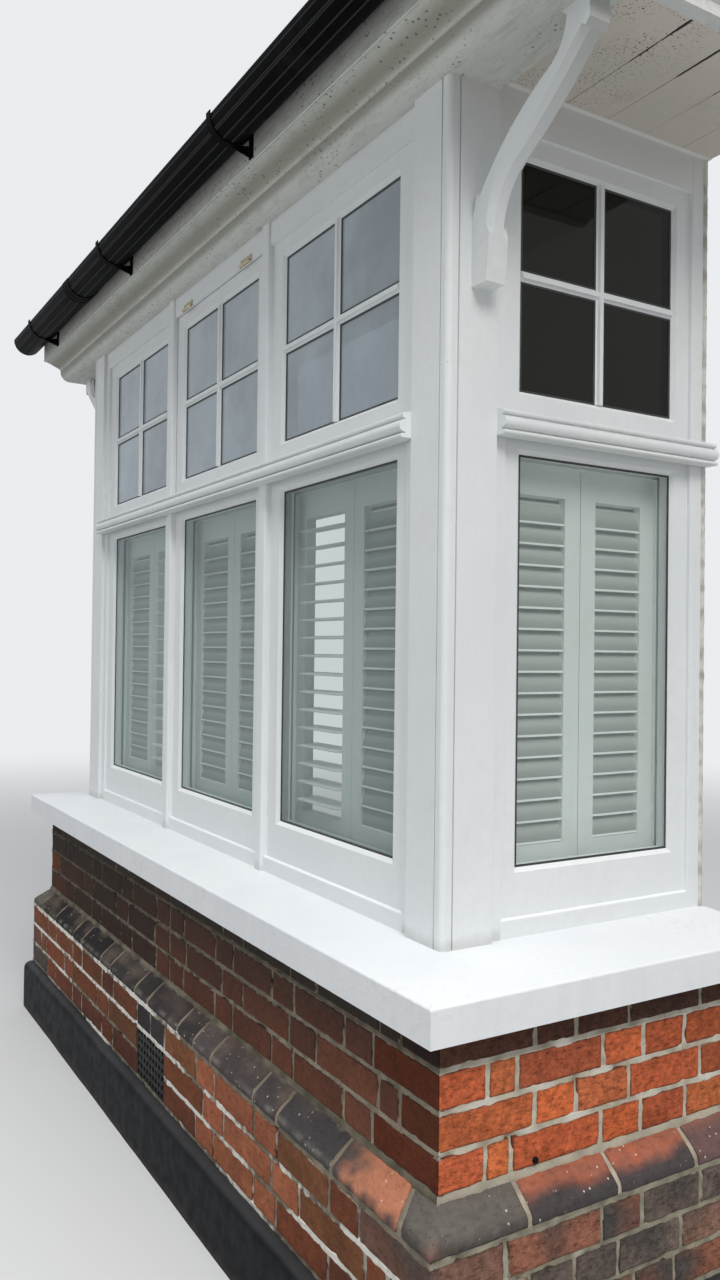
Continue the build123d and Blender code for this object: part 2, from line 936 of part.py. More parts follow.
with BuildPart() as end_boards:
    with BuildSketch(Plane.YZ.offset(end_board_x)):
        with BuildLine():
            Polyline(
                (fascia_back_y, beam_top),
                (beam_back_y, beam_top),
                (beam_back_y, soffit_bottom - end_board_drop),
                (house_y, soffit_bottom - end_board_drop),
                (house_y, under_roof(house_y)),
                (fascia_back_y, under_roof(fascia_back_y)),
                close=True,
            )
        make_face()
    extrude(amount=end_board_thickness)
    with BuildSketch(house_plane(house_y)):
        with BuildLine():
            Polyline(
                (eaves_half, verge_bead_top),
                (eaves_half, verge_bead_top - verge_bead_height),
                (eaves_half + verge_bead_set, verge_bead_top - verge_bead_height),
                (eaves_half + verge_bead_set, verge_bead_top - verge_bead_height / 2),
            )
            ThreePointArc(
                (eaves_half + verge_bead_set, verge_bead_top - verge_bead_height / 2),
                (eaves_half + verge_bead_out, verge_bead_top - verge_bead_height / 4),
                (eaves_half + verge_bead_set, verge_bead_top),
            )
            Line((eaves_half + verge_bead_set, verge_bead_top), (eaves_half, verge_bead_top))
        make_face()
    extrude(amount=house_y - beam_back_y)
    mirror(about=Plane.YZ)
save(end_boards, "end_boards")

# Roof, its timbers and its flashing

roof_front_y = fascia_front_y - roof_drip
roof_half = eaves_half + roof_verge
roof_rise = roof_thickness / cos(radians(roof_pitch))
rafter_rise = rafter_depth / cos(radians(roof_pitch))

with BuildPart() as roof_slope:
    with BuildSketch(Plane.YZ):
        with BuildLine():
            Polyline(
                (roof_front_y, under_roof(roof_front_y)),
                (house_y, under_roof(house_y)),
                (house_y, under_roof(house_y) + roof_rise),
                (roof_front_y, under_roof(roof_front_y) + roof_rise),
                close=True,
            )
        make_face()
    extrude(amount=roof_half, both=True)
save(roof_slope, "roof_slope")

ledger_y = house_y - ledger_thickness
rafter_seat_y = fascia_front_y + (beam_top + rafter_rise - roof_eaves_height) / pitch_rise
rafter_pitch = (2 * end_board_x - rafter_width) / (rafter_count - 1)

with BuildPart() as rafters:
    with BuildSketch(Plane.YZ):
        with BuildLine():
            Polyline(
                (fascia_back_y, beam_top),
                (rafter_seat_y, beam_top),
                (ledger_y, under_roof(ledger_y) - rafter_rise),
                (ledger_y, under_roof(ledger_y)),
                (fascia_back_y, under_roof(fascia_back_y)),
                close=True,
            )
        make_face()
    rafter = extrude(amount=rafter_width / 2, both=True, mode=Mode.PRIVATE)
    with GridLocations(rafter_pitch, 0, rafter_count, 1):
        add(rafter)
save(rafters, "rafters")

with BuildPart() as ledger:
    with BuildSketch(Plane.YZ):
        with BuildLine():
            Polyline(
                (ledger_y, under_roof(ledger_y) - ledger_depth),
                (house_y, under_roof(ledger_y) - ledger_depth),
                (house_y, under_roof(house_y)),
                (ledger_y, under_roof(ledger_y)),
                close=True,
            )
        make_face()
    extrude(amount=end_board_x, both=True)
save(ledger, "ledger")

flashing_y = house_y - flashing_thickness
flashing_foot_y = house_y - flashing_lap_width
flashing_rise = flashing_thickness / cos(radians(roof_pitch))


def over_roof(y):
    """Height of the roof's upper face above this line."""
    return under_roof(y) + roof_rise


with BuildPart() as flashing:
    with BuildSketch(Plane.YZ):
        with BuildLine():
            Polyline(
                (flashing_foot_y, over_roof(flashing_foot_y)),
                (house_y, over_roof(house_y)),
                (house_y, over_roof(house_y) + flashing_upstand_height),
                (flashing_y, over_roof(house_y) + flashing_upstand_height),
                (flashing_y, over_roof(flashing_y) + flashing_rise),
                (flashing_foot_y, over_roof(flashing_foot_y) + flashing_rise),
                close=True,
            )
        make_face()
    extrude(amount=roof_half, both=True)
save(flashing, "flashing")

# Half-round gutter and the brackets under it

gutter_y = front_y - gutter_axis_out
gutter_half = roof_half + gutter_past_roof

with BuildPart() as gutter:
    with BuildSketch(Plane.YZ):
        with Locations((gutter_y, gutter_lip_height)):
            Circle(gutter_radius)
            Circle(gutter_radius - gutter_wall, mode=Mode.SUBTRACT)
            Rectangle(
                2 * gutter_radius,
                gutter_radius,
                align=(Align.CENTER, Align.MIN),
                mode=Mode.SUBTRACT,
            )
        with Locations((gutter_y - gutter_radius + gutter_lip_bead, gutter_lip_height)):
            Circle(gutter_lip_bead)
    extrude(amount=gutter_half, both=True)
    with BuildSketch(Plane.YZ.offset(-gutter_half), Plane.YZ.offset(gutter_half - gutter_stop)):
        with Locations((gutter_y, gutter_lip_height)):
            Circle(gutter_radius)
            Rectangle(
                2 * gutter_radius,
                gutter_radius,
                align=(Align.CENTER, Align.MIN),
                mode=Mode.SUBTRACT,
            )
    extrude(amount=gutter_stop)
    with BuildSketch(Plane.YZ.offset(union_place)):
        with Locations((gutter_y, gutter_lip_height)):
            Circle(gutter_radius + union_wall)
            Circle(gutter_radius - gutter_wall, mode=Mode.SUBTRACT)
            Rectangle(
                2 * gutter_radius + 2 * union_wall,
                gutter_radius + union_wall,
                align=(Align.CENTER, Align.MIN),
                mode=Mode.SUBTRACT,
            )
    extrude(amount=union_width / 2, both=True)
    rib_pitch = (union_width - union_rib_width) / 2
    rib_places = (union_place - rib_pitch, union_place, union_place + rib_pitch)
    with BuildSketch(*[Plane.YZ.offset(x) for x in rib_places]):
        with Locations((gutter_y, gutter_lip_height)):
            Circle(gutter_radius + union_wall + union_rib)
            Circle(gutter_radius - gutter_wall, mode=Mode.SUBTRACT)
            Rectangle(
                2 * gutter_radius + 2 * union_wall + 2 * union_rib,
                gutter_radius + union_wall + union_rib,
                align=(Align.CENTER, Align.MIN),
                mode=Mode.SUBTRACT,
            )
    extrude(amount=union_rib_width / 2, both=True)
save(gutter, "gutter")

strap_places = [strap_place + i * strap_pitch for i in range(strap_count)]

with BuildPart() as gutter_brackets:
    with BuildSketch(*[Plane.YZ.offset(x) for x in strap_places]):
        with Locations((gutter_y, gutter_lip_height)):
            Circle(strap_radius)
            Circle(strap_radius - strap_thickness, mode=Mode.SUBTRACT)
            Rectangle(
                2 * strap_radius,
                strap_radius,
                align=(Align.CENTER, Align.MIN),
                mode=Mode.SUBTRACT,
            )
        with Locations((fascia_front_y, gutter_lip_height)):
            Rectangle(strap_thickness, strap_tail, align=(Align.MAX, Align.MAX))
        with Locations((gutter_y - strap_radius, gutter_lip_height)):
            Rectangle(strap_thickness, strap_clip, align=(Align.MIN, Align.MIN))
    extrude(amount=strap_width / 2, both=True)
    with BuildSketch(*[Plane.YZ.offset(x) for x in strap_places]):
        with BuildLine():
            Polyline(
                (fascia_front_y - strap_thickness, gutter_lip_height - strap_tail),
                (fascia_front_y - strap_thickness, gutter_lip_height - strap_web_out),
                (gutter_y, gutter_lip_height - strap_radius),
                close=True,
            )
        make_face()
        with Locations((gutter_y, gutter_lip_height)):
            Circle(strap_radius - strap_thickness, mode=Mode.SUBTRACT)
    extrude(amount=strap_web / 2, both=True)
save(gutter_brackets, "gutter_brackets")

# Curved brackets that carry the ends of the beam

bracket_foot = beam_bottom - bracket_height
bracket_plane = house_plane(front_y + bracket_setback + bracket_thickness)


def from_post(out, height):
    """A point of the right-hand bracket: out from the post's side, up from the bracket's foot."""
    return (bay_half + out, bracket_foot + height)


def by_share(share):
    """A point of the bracket by its shares of the reach and the height."""
    return from_post(share[0] * bracket_reach, share[1] * bracket_height)


outer_foot = from_post(bracket_foot_width + bracket_foot_lean, outer_foot_rise * bracket_height)
outer_turn = by_share(outer_turn_share)
outer_stop = by_share(outer_stop_share)
inner_start = by_share(inner_start_share)
inner_turn = by_share(inner_turn_share)
inner_head = from_post(bracket_reach - bracket_head_width, bracket_height)

with BuildPart() as bracket:
    with BuildSketch(bracket_plane):
        with BuildLine():
            outer_high = ThreePointArc(outer_stop, by_share(outer_bow_share), outer_turn)
            TangentArc(outer_turn, outer_foot, tangent=outer_high % 1)
            inner_low = ThreePointArc(inner_start, by_share(inner_bow_share), inner_turn)
            TangentArc(inner_turn, inner_head, tangent=inner_low % 1)
            Line(inner_head, outer_stop)
            Line(outer_foot, inner_start)
        make_face()
    extrude(amount=bracket_thickness)
    curved_edges = bracket.edges().filter_by(GeomType.CIRCLE)
    arrises = [
        curved_edges.sort_by_distance((turn[0], y, turn[1]))[0]
        for turn in (outer_turn, inner_turn)
        for y in (front_y + bracket_setback, front_y + bracket_setback + bracket_thickness)
    ]
    chamfer(arrises, length=bracket_chamfer)
    with BuildSketch(bracket_plane):
        with BuildLine():
            Polyline(
                from_post(0, 0),
                from_post(bracket_foot_width, 0),
                outer_foot,
                inner_start,
                from_post(0, inner_foot_rise * bracket_height),
                close=True,
            )
        make_face()
        with BuildLine():
            Polyline(
                outer_stop,
                from_post(bracket_reach, outer_head_rise * bracket_height),
                from_post(bracket_reach, bracket_height),
                inner_head,
                close=True,
            )
        make_face()
    extrude(amount=bracket_thickness)
save_pair(bracket, "bracket")

# Butt hinges on the top edge of the middle upper light

hinge_face_y = front_y + lining_setback
barrel_y = hinge_face_y - hinge_clearance - hinge_barrel

with BuildPart() as hinges:
    with BuildSketch(house_plane(hinge_face_y)):
        with Locations((0, head_bottom)):
            with GridLocations(hinge_spacing, 0, 2, 1):
                Rectangle(hinge_length, hinge_leaf, align=(Align.CENTER, Align.MIN))
    extrude(amount=leaf_thickness)
    with BuildSketch(Plane.YZ):
        with Locations((barrel_y, head_bottom)):
            Circle(hinge_barrel)
    barrel = extrude(amount=hinge_length / 2, both=True, mode=Mode.PRIVATE)
    with GridLocations(hinge_spacing, 0, 2, 1):
        add(barrel)
save(hinges, "hinges")
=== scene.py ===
import math
import random

import bpy
from mathutils import Matrix, Vector, noise


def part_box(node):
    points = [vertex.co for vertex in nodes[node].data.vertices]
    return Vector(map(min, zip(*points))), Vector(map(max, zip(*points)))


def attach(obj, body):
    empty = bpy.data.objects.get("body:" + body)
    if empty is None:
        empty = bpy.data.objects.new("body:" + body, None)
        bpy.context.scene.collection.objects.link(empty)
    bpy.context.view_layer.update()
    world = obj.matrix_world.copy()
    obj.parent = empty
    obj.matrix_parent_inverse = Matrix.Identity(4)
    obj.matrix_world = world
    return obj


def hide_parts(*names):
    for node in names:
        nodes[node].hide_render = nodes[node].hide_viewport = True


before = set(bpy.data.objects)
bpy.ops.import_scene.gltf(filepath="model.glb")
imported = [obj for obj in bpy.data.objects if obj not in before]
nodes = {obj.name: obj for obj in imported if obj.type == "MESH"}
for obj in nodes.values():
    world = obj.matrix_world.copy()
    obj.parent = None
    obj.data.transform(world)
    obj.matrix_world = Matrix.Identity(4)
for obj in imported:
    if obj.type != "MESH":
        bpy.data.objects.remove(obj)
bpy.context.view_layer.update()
rng = random.Random(11)
MM = 0.001


def in_scene(name, data):
    thing = bpy.data.objects.new(name, data)
    bpy.context.scene.collection.objects.link(thing)
    return thing


# ---- camera, where the photograph was taken
EYE, LENS = (2.8208, -1.4281, 1.4638), 28.47
yaw, pitch, roll = math.radians(59.0), math.radians(-0.6), math.radians(0.69)
back = Vector((math.sin(yaw) * math.cos(pitch), -math.cos(yaw) * math.cos(pitch), math.sin(pitch)))
level_right = Vector((0, 0, 1)).cross(back).normalized()
level_up = back.cross(level_right)
right = math.cos(roll) * level_right + math.sin(roll) * level_up
up = math.cos(roll) * level_up - math.sin(roll) * level_right
cam_data = bpy.data.cameras.new("camera")
cam_data.lens = LENS
cam_data.sensor_width = 36
cam = in_scene("camera", cam_data)
cam.matrix_world = Matrix.Translation(EYE) @ Matrix((right, up, back)).transposed().to_4x4()
bpy.context.scene.camera = cam
bpy.context.scene.view_settings.view_transform = "Standard"


# ---- node helpers
class Graph:
    """Shader nodes being joined up."""

    def __init__(self, tree):
        self.nodes, self.links = tree.nodes, tree.links

    def put(self, kind, inputs, out=0, **settings):
        node = self.nodes.new("ShaderNode" + kind)
        for key, value in settings.items():
            setattr(node, key, value)
        for key, value in inputs.items():
            if isinstance(value, bpy.types.NodeSocket):
                self.links.new(value, node.inputs[key])
            else:
                node.inputs[key].default_value = value
        return node.outputs[out]

    def math(self, op, a, b=0.0):
        return self.put("Math", {0: a, 1: b}, operation=op)

    def seen(self):
        """1 for rays that look at the set, straight, by a mirror or through glass."""
        mirrored = self.math("MAXIMUM", self.put("LightPath", {}, "Is Camera Ray"),
                             self.put("LightPath", {}, "Is Glossy Ray"))
        return self.math("MAXIMUM", mirrored, self.put("LightPath", {}, "Is Transmission Ray"))


class Shader(Graph):
    """A node material being built. Scales are per metre of the shared frame."""

    def __init__(self, name, roughness=0.6, **sockets):
        self.mat = bpy.data.materials.new(name)
        self.mat.use_nodes = True
        super().__init__(self.mat.node_tree)
        self.bsdf = self.nodes["Principled BSDF"]
        self.at = self.nodes.new("ShaderNodeTexCoord").outputs["Object"]
        self.bsdf.inputs["Roughness"].default_value = roughness
        for key, value in sockets.items():
            self.bsdf.inputs[key.replace("_", " ")].default_value = value

    def mix(self, fac, a, b, blend="MIX"):
        def colour(v):
            return v if isinstance(v, bpy.types.NodeSocket) else (*v, 1.0)[:4]
        return self.put("Mix", {0: fac, 6: colour(a), 7: colour(b)}, 2, data_type="RGBA", blend_type=blend)

    def over(self, fac, other, blend="MIX"):
        """Lays another colour over the colour so far."""
        self.colour = self.mix(fac, self.colour, other, blend)

    def span(self, value, low, high, to_low, to_high):
        """value from low..high to to_low..to_high, clamped."""
        return self.put("MapRange", {0: value, 1: low, 2: high, 3: to_low, 4: to_high},
                        interpolation_type="SMOOTHSTEP")

    def rise(self, value, low, high, top=1.0):
        return self.span(value, low, high, 0.0, top)

    def fall(self, value, low, high, top=1.0):
        return self.span(value, low, high, top, 0.0)

    def band(self, which, a, b, c, d, top=1.0):
        """Rises from a to b along an axis and falls from c to d."""
        return self.times(self.rise(self.axis(which), a, b), self.fall(self.axis(which), c, d, top))

    def stretch(self, scale):
        return self.put("Mapping", {0: self.at, 3: scale})

    def noise(self, scale, detail=3.0, rough=0.55, at=None, out=0):
        return self.put("TexNoise", {"Vector": at or self.at, "Scale": scale, "Detail": detail,
                                     "Roughness": rough}, out)

    def streaks(self, scale, detail=4, rough=0.6):
        """Noise with a scale for each axis."""
        return self.noise(1.0, detail, rough, self.stretch(scale))

    def cells(self, scale, at=None, feature="F1"):
        return self.put("TexVoronoi", {"Vector": at or self.at, "Scale": scale}, "Distance", feature=feature)

    def flecks(self, scale, size, patches, share, top=1.0, at=None):
        """Small dots, only where the patches reach the share."""
        return self.times(self.fall(self.cells(scale, at), *size), self.rise(patches, *share, top))

    def axis(self, which):
        return self.put("SeparateXYZ", {0: self.at}, "XYZ".index(which))

    def normal(self, which):
        return self.put("SeparateXYZ", {0: self.put("NewGeometry", {}, "Normal")}, "XYZ".index(which))

    def held(self, name, out="Color"):
        return self.put("Attribute", {}, out, attribute_name=name)

    def times(self, *terms):
        total = terms[0]
        for term in terms[1:]:
            total = self.math("MULTIPLY", total, term)
        return total

    def sum(self, *terms):
        """Adds its terms. A pair is a term and its weight."""
        terms = [self.times(*term) if isinstance(term, tuple) else term for term in terms]
        total = terms[0]
        for term in terms[1:]:
            total = self.math("ADD", total, term)
        return total

    def near(self, point, radius):
        """1 inside radius of a point, 0 outside."""
        far = self.put("VectorMath", {0: self.at, 1: point}, "Value", operation="DISTANCE")
        return self.fall(far, radius * 0.8, radius * 1.2)

    def done(self, height=None, depth=0.001, roughness=None):
        self.links.new(self.colour, self.bsdf.inputs["Base Color"])
        if roughness is not None:
            self.links.new(roughness, self.bsdf.inputs["Roughness"])
        if height is not None:
            bump = self.put("Bump", {"Height": height, "Distance": depth, "Strength": 1.0})
            self.links.new(bump, self.bsdf.inputs["Normal"])
        return self.mat


def dress(material, *names):
    for name in names:
        nodes[name].data.materials.clear()
        nodes[name].data.materials.append(material)


# ---- mesh helpers
PLAIN = (1, 1, 1)


def wave(x, y, z, scale, seed=0):
    """Smooth noise from about -1 to 1 with features of the given size in mm."""
    return noise.noise(Vector((x / scale + seed * 7.3, y / scale - seed * 3.1, z / scale + seed)))


def ring_of(radius, count):
    """Points of a closed circle, as pairs."""
    angles = [math.tau * k / count for k in range(count + 1)]
    return [(radius * math.cos(a), radius * math.sin(a)) for a in angles]


class Mesh:
    """Collects grids, boxes and their attributes, in millimetres of the shared frame."""

    def __init__(self):
        self.points, self.faces, self.tones, self.values = [], [], [], []

    def add(self, points, tone=PLAIN):
        base = len(self.points)
        self.points += points
        self.tones += [tone] * len(points)
        self.values += [0.0] * len(points)
        return base

    def grid(self, rows, tones=None, values=None, flip=False):
        """rows of points, joined to quads."""
        wide = len(rows[0])
        base = self.add([p for row in rows for p in row])
        if tones:
            self.tones[base:] = [t for row in tones for t in row]
        if values:
            self.values[base:] = [v for row in values for v in row]
        for r in range(len(rows) - 1):
            for c in range(wide - 1):
                a = base + r * wide + c
                quad = (a, a + 1, a + wide + 1, a + wide)
                self.faces.append(quad[::-1] if flip else quad)

    def sweep(self, us, vs, place, flip=False):
        """A grid over us and vs. place gives a point, its tone and its value; the points and tones come back."""
        cells = [[place(u, v) for v in vs] for u in us]
        rows, tones, values = ([[cell[k] for cell in row] for row in cells] for k in range(3))
        self.grid(rows, tones, values, flip)
        return rows, tones

    def cap(self, ring, flip=False):
        """One face over a closed line."""
        base = self.add(ring)
        face = list(range(base, base + len(ring)))
        self.faces.append(face[::-1] if flip else face)

    def box(self, x, y, z, tone=PLAIN):
        base = self.add([(i, j, k) for k in z for j in y for i in x], tone)
        for f in ((0, 2, 3, 1), (4, 5, 7, 6), (0, 1, 5, 4), (2, 6, 7, 3), (0, 4, 6, 2), (1, 3, 7, 5)):
            self.faces.append(tuple(base + i for i in f))

    def piece(self, name, material, slot, replaced=(), tones=False, values=None, smooth=True):
        """The finished piece. values names the attribute that carries the values."""
        mesh = bpy.data.meshes.new(name)
        mesh.from_pydata([(x * MM, y * MM, z * MM) for x, y, z in self.points], [], self.faces)
        mesh.polygons.foreach_set("use_smooth", [smooth] * len(self.faces))
        if tones:
            data = mesh.attributes.new("tone", "FLOAT_COLOR", "POINT").data
            data.foreach_set("color", [v for t in self.tones for v in (*t, 1.0)[:4]])
        if values:
            mesh.attributes.new(values, "FLOAT", "POINT").data.foreach_set("value", self.values)
        mesh.materials.append(material)
        mesh.update()
        piece = in_scene(name, mesh)
        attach(piece, "root")
        if replaced:
            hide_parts(*replaced)


def ladder(length, step=13.0):
    """Places from 0 to length, close together at both ends."""
    fine = [0.0, 1.2, 3.2, 7.0]
    inner = length - 2 * fine[-1]
    count = max(1, round(inner / step))
    middle = [fine[-1] + inner * i / count for i in range(1, count)]
    return fine + middle + [length - f for f in reversed(fine)]


# ---- the walls' line
FRONT, SIDE, HOUSE = -369.7, 1350.0, 495.3  # the upper wall's faces and the house wall
PLINTH = 56.0  # how far the plinth stands out
JOINT = 5.0
air_low, air_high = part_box("air_brick")
HOLE = (air_low.x / MM - JOINT, air_high.x / MM + JOINT)

DEEP = HOUSE - FRONT
CORNERS = LEFT_CORNER, RIGHT_CORNER = DEEP, DEEP + 2 * SIDE
TOTAL = 2 * DEEP + 2 * SIDE
TURN = 150.0  # how far from a corner the bricks share out what the plinth is longer than the wall


def reach(d, out):
    """Distance from the corner of a face that stands out, for a distance d from the upper wall's corner."""
    return d * (1 + out / TURN) if d < TURN else d + out


def unreach(g, out):
    return g / (1 + out / TURN) if g < TURN + out else g - out


def along(s, out):
    """Place and outward direction of a point s mm along the wall's line, which runs from the rear left round
    the front to the rear right, and out mm in front of the upper wall's face. The corners are mitred."""
    if s <= LEFT_CORNER:
        return (-SIDE - out, FRONT - out + reach(LEFT_CORNER - s, out), -1.0, 0.0)
    if s < LEFT_CORNER + SIDE:
        return (-SIDE - out + reach(s - LEFT_CORNER, out), FRONT - out, 0.0, -1.0)
    if s <= RIGHT_CORNER:
        return (SIDE + out - reach(RIGHT_CORNER - s, out), FRONT - out, 0.0, -1.0)
    return (SIDE + out, FRONT - out + reach(s - RIGHT_CORNER, out), 1.0, 0.0)


def s_front(x, out):
    if x < 0:
        return LEFT_CORNER + unreach(x + SIDE + out, out)
    return RIGHT_CORNER - unreach(SIDE + out - x, out)


def s_right(y, out):
    return RIGHT_CORNER + unreach(y - FRONT + out, out)


def s_left(y, out):
    return LEFT_CORNER - unreach(y - FRONT + out, out)


def on_return(s):
    return not LEFT_CORNER < s < RIGHT_CORNER


# ---- bricks
COURSE = 75.0
FEET = (190, 265, 340, 415, 490, 565, 640, 715)  # the height of each course's foot
SPLAYED, HOLED = 3, (0, 1)  # the course with the splay and those with the air brick's hole
STRETCHER, HEADER, CLOSER = 225.0, 112.5, 66.0


def front_bond(headers, half):
    """Joints along the front, for a face half as wide as half and a course that has headers at its ends or not."""
    bricks = [STRETCHER, HEADER] * 4 + [HEADER, STRETCHER] * 4
    if headers:
        bricks = [HEADER, CLOSER] + [STRETCHER, HEADER] * 3 + [HEADER, STRETCHER] * 3 + [CLOSER, HEADER]
    scale = 2 * half / sum(bricks)
    places, x = [], -half
    for b in bricks[:-1]:
        x += b * scale
        places.append(x)
    return places


# Joints on the right return, in mm along Y, read from the photograph; the left return mirrors them.
RETURN = {
    0: (-100, 62, 175, 400), 1: (-201, -93, 19, 194), 2: (-256, -24, 83, 250),
    3: (-200, 24, 239, 420), 4: (-263, -202, 25, 135, 265), 5: (-146, -42, 101, 310),
    6: (-259, -189, 30, 142, 263), 7: (-146, -42, 101, 310),
}
SPLAY_FRONT = (-1296, -1072, -831, -723, -500, -392, -150, -32, 208, 322, 440, 690, 812, 1060, 1306)

# UPPER, the front's upper bricks, is darker than the returns' ORANGE partly by soot and partly as painted shade
UPPER = ((0.125, 0.047, 0.027), (0.095, 0.04, 0.025), (0.15, 0.055, 0.03), (0.08, 0.037, 0.025))
UNDER = ((0.27, 0.08, 0.038), (0.33, 0.105, 0.045), (0.22, 0.068, 0.036), (0.3, 0.115, 0.05))
ORANGE = ((0.88, 0.207, 0.07), (0.9, 0.232, 0.08), (0.806, 0.182, 0.068), (0.88, 0.249, 0.089))
PURPLE = ((0.275, 0.142, 0.105), (0.175, 0.134, 0.114), (0.365, 0.148, 0.094), (0.29, 0.16, 0.114))
COAL = (0.06, 0.056, 0.056)


def blend(a, b, t):
    t = min(max(t, 0.0), 1.0)
    return tuple(x + (y - x) * t for x, y in zip(a, b))


def scaled(colour, factor):
    return tuple(c * factor for c in colour)


def brick_base(course, x, y, side):
    """A brick's own colour, for its middle. Courses 0 to 2 are under the splay and 4 to 7 above it."""
    light = 0.85 + 0.3 * rng.random()
    above = course > SPLAYED
    if course == SPLAYED:
        base = blend(COAL, (0.09, 0.07, 0.07), rng.random())
        if not side and x < 300:
            base = scaled(base, 0.2 if x < -500 else 0.48)
    elif side:
        base = rng.choice(ORANGE if above else PURPLE)
        if above:  # paler and redder by chance, darker towards the house
            base = blend(base, (0.4, 0.108, 0.056), rng.random() ** 2 * 0.7 + (0.2 if course == 6 else 0.0))
            base = scaled(base, 1.0 - 0.24 * max(0.0, (y + 150) / 600))
    else:
        base = rng.choice(UPPER if above else UNDER)
        if above:  # lighter and redder towards the near corner
            base = blend(base, (0.26, 0.086, 0.048), 0.5 * min(1, max(0, (x + 200) / 1500)))
            near = max(0.0, (x - 200) / 1100) ** 1.3
            base = scaled(base, 0.48 if x < -120 else 0.85 + 0.6 * near)
        elif 330 < x < 900:
            base = blend(base, (0.51, 0.167, 0.084), 0.6)
        else:
            base = scaled(base, 0.68 if x > 0 else 0.53)
    # the course under the sill is darkened almost to black: painted shadow of the sill
    if course == 7:
        base = blend(base, (0.045, 0.031, 0.024), 0.93)
    if not side and course == 2 and -70 < x < 70:
        base = (0.035, 0.03, 0.032)  # the burnt headers over the air brick
    if not side and course < SPLAYED and x < -850:
        base = blend(base, (0.36, 0.11, 0.055), 0.35)
    return scaled(base, light)


bricks, mortar = Mesh(), Mesh()
ARRISES = (190, 265, 340, 415, 440, 490, 565, 640, 715)
chips = []
for _ in range(260):  # knocked corners and arrises: place, height, size, depth
    chips.append((rng.uniform(0, TOTAL), rng.choice(ARRISES) + rng.uniform(-6, 8),
                  rng.uniform(6, 17), rng.uniform(1.0, 3.6)))


def relief(s, z, x, y, rough):
    """Unevenness of a brick's face in mm, always inwards."""
    worn = (0.9 * wave(x, y, z, 46, 1) + 0.55 * wave(x, y, z, 15, 2) + 0.3 * wave(x, y, z, 6.5, 3)) * rough
    for cs, cz, size, deep in chips:
        if abs(s - cs) < size and abs(z - cz) < size:
            d = math.hypot(s - cs, z - cz) / size
            if d < 1:
                worn -= deep * (1 - d * d)
    return worn - 0.9


def round_off(e, radius):
    return 0.0 if e >= radius else radius - math.sqrt(max(0.0, radius ** 2 - (radius - e) ** 2))


def lay(s0, s1, section, course):
    """One brick from s0 to s1 along the wall. section is its face, as (out, z) points from its foot up."""
    splayed = course == SPLAYED
    radius = 6.0 if splayed else 3.4
    columns = [s0 + p for p in ladder(s1 - s0)]
    for corner in CORNERS:
        if s0 + 1 < corner < s1 - 1:
            columns = [c for c in columns if abs(c - corner) > 7.5] + [corner + d for d in (-6, -2.4, 0, 2.4, 6)]
    columns.sort()
    run = [0.0]
    for (o0, z0), (o1, z1) in zip(section, section[1:]):
        run.append(run[-1] + math.hypot(o1 - o0, z1 - z0))
    steps = ladder(run[-1], step=11.0)

    def on_section(t):
        """Place and outward direction at t mm up the section."""
        i = next((i for i in range(len(run) - 2) if t <= run[i + 1]), len(run) - 2)
        (o0, z0), (o1, z1) = section[i], section[i + 1]
        long = run[i + 1] - run[i]
        f = (t - run[i]) / long
        return o0 + (o1 - o0) * f, z0 + (z1 - z0) * f, (z1 - z0) / long, (o0 - o1) / long

    centre = (s0 + s1) / 2
    side = on_return(centre) or s0 < RIGHT_CORNER < s1
    base = brick_base(course, *along(centre, 0)[:2], side)
    rough = 0.7 if splayed else 1.55 if side else 1.15
    patch = rng.uniform(0, 50)

    def on_face(t, s):
        out, z, no, nz = on_section(t)
        es, et = min(s - s0, s1 - s), min(t, run[-1] - t)
        at_s = s
        if es < 2 and 3 < s < TOTAL - 3:  # ragged ends and edges
            at_s += (1.3 * wave(s, z, 0, 17, 61) + 0.8 * wave(s, z, 0, 6, 62)) * (1 if s < centre else -1)
        if et < 2 and not splayed:
            z += 1.2 * wave(s, z, 0, 19, 63) + 0.8 * wave(s, z, 0, 7, 64)
        x, y, nx, ny = along(at_s, out)
        sink = relief(s, z, x, y, rough) - round_off(es, radius) - round_off(et, radius)
        for corner in CORNERS:
            if s0 < corner < s1:
                sink -= round_off(abs(s - corner), 5.0) * 0.55
                if s == corner:
                    nx, ny = 0.7 if corner == RIGHT_CORNER else -0.7, -0.7
        tone = colour_at(base, course, side, s, z, x, y, patch, t / run[-1])
        grit = 0.42 if splayed else 1.0 if on_return(s) else 0.62
        return (x + nx * no * sink, y + ny * no * sink, z + nz * sink), (*tone, grit), min(es, et)

    def sunk(s, t):
        """A point behind the face, on the mortar's core."""
        out, z, no, nz = on_section(t)
        x, y, nx, ny = along(s, out)
        return (x - nx * 13 * no, y - ny * 13 * no, z - nz * 13)

    rows, tones = bricks.sweep(steps, columns, on_face)
    for outer, shades, inner, flip in (
        (rows[0], tones[0], [sunk(s, steps[0]) for s in columns], True),
        (rows[-1], tones[-1], [sunk(s, steps[-1]) for s in columns], False),
        ([row[0] for row in rows], [row[0] for row in tones], [sunk(columns[0], t) for t in steps], False),
        ([row[-1] for row in rows], [row[-1] for row in tones], [sunk(columns[-1], t) for t in steps], True),
    ):
        bricks.grid([outer, inner], [shades, shades], flip=flip)


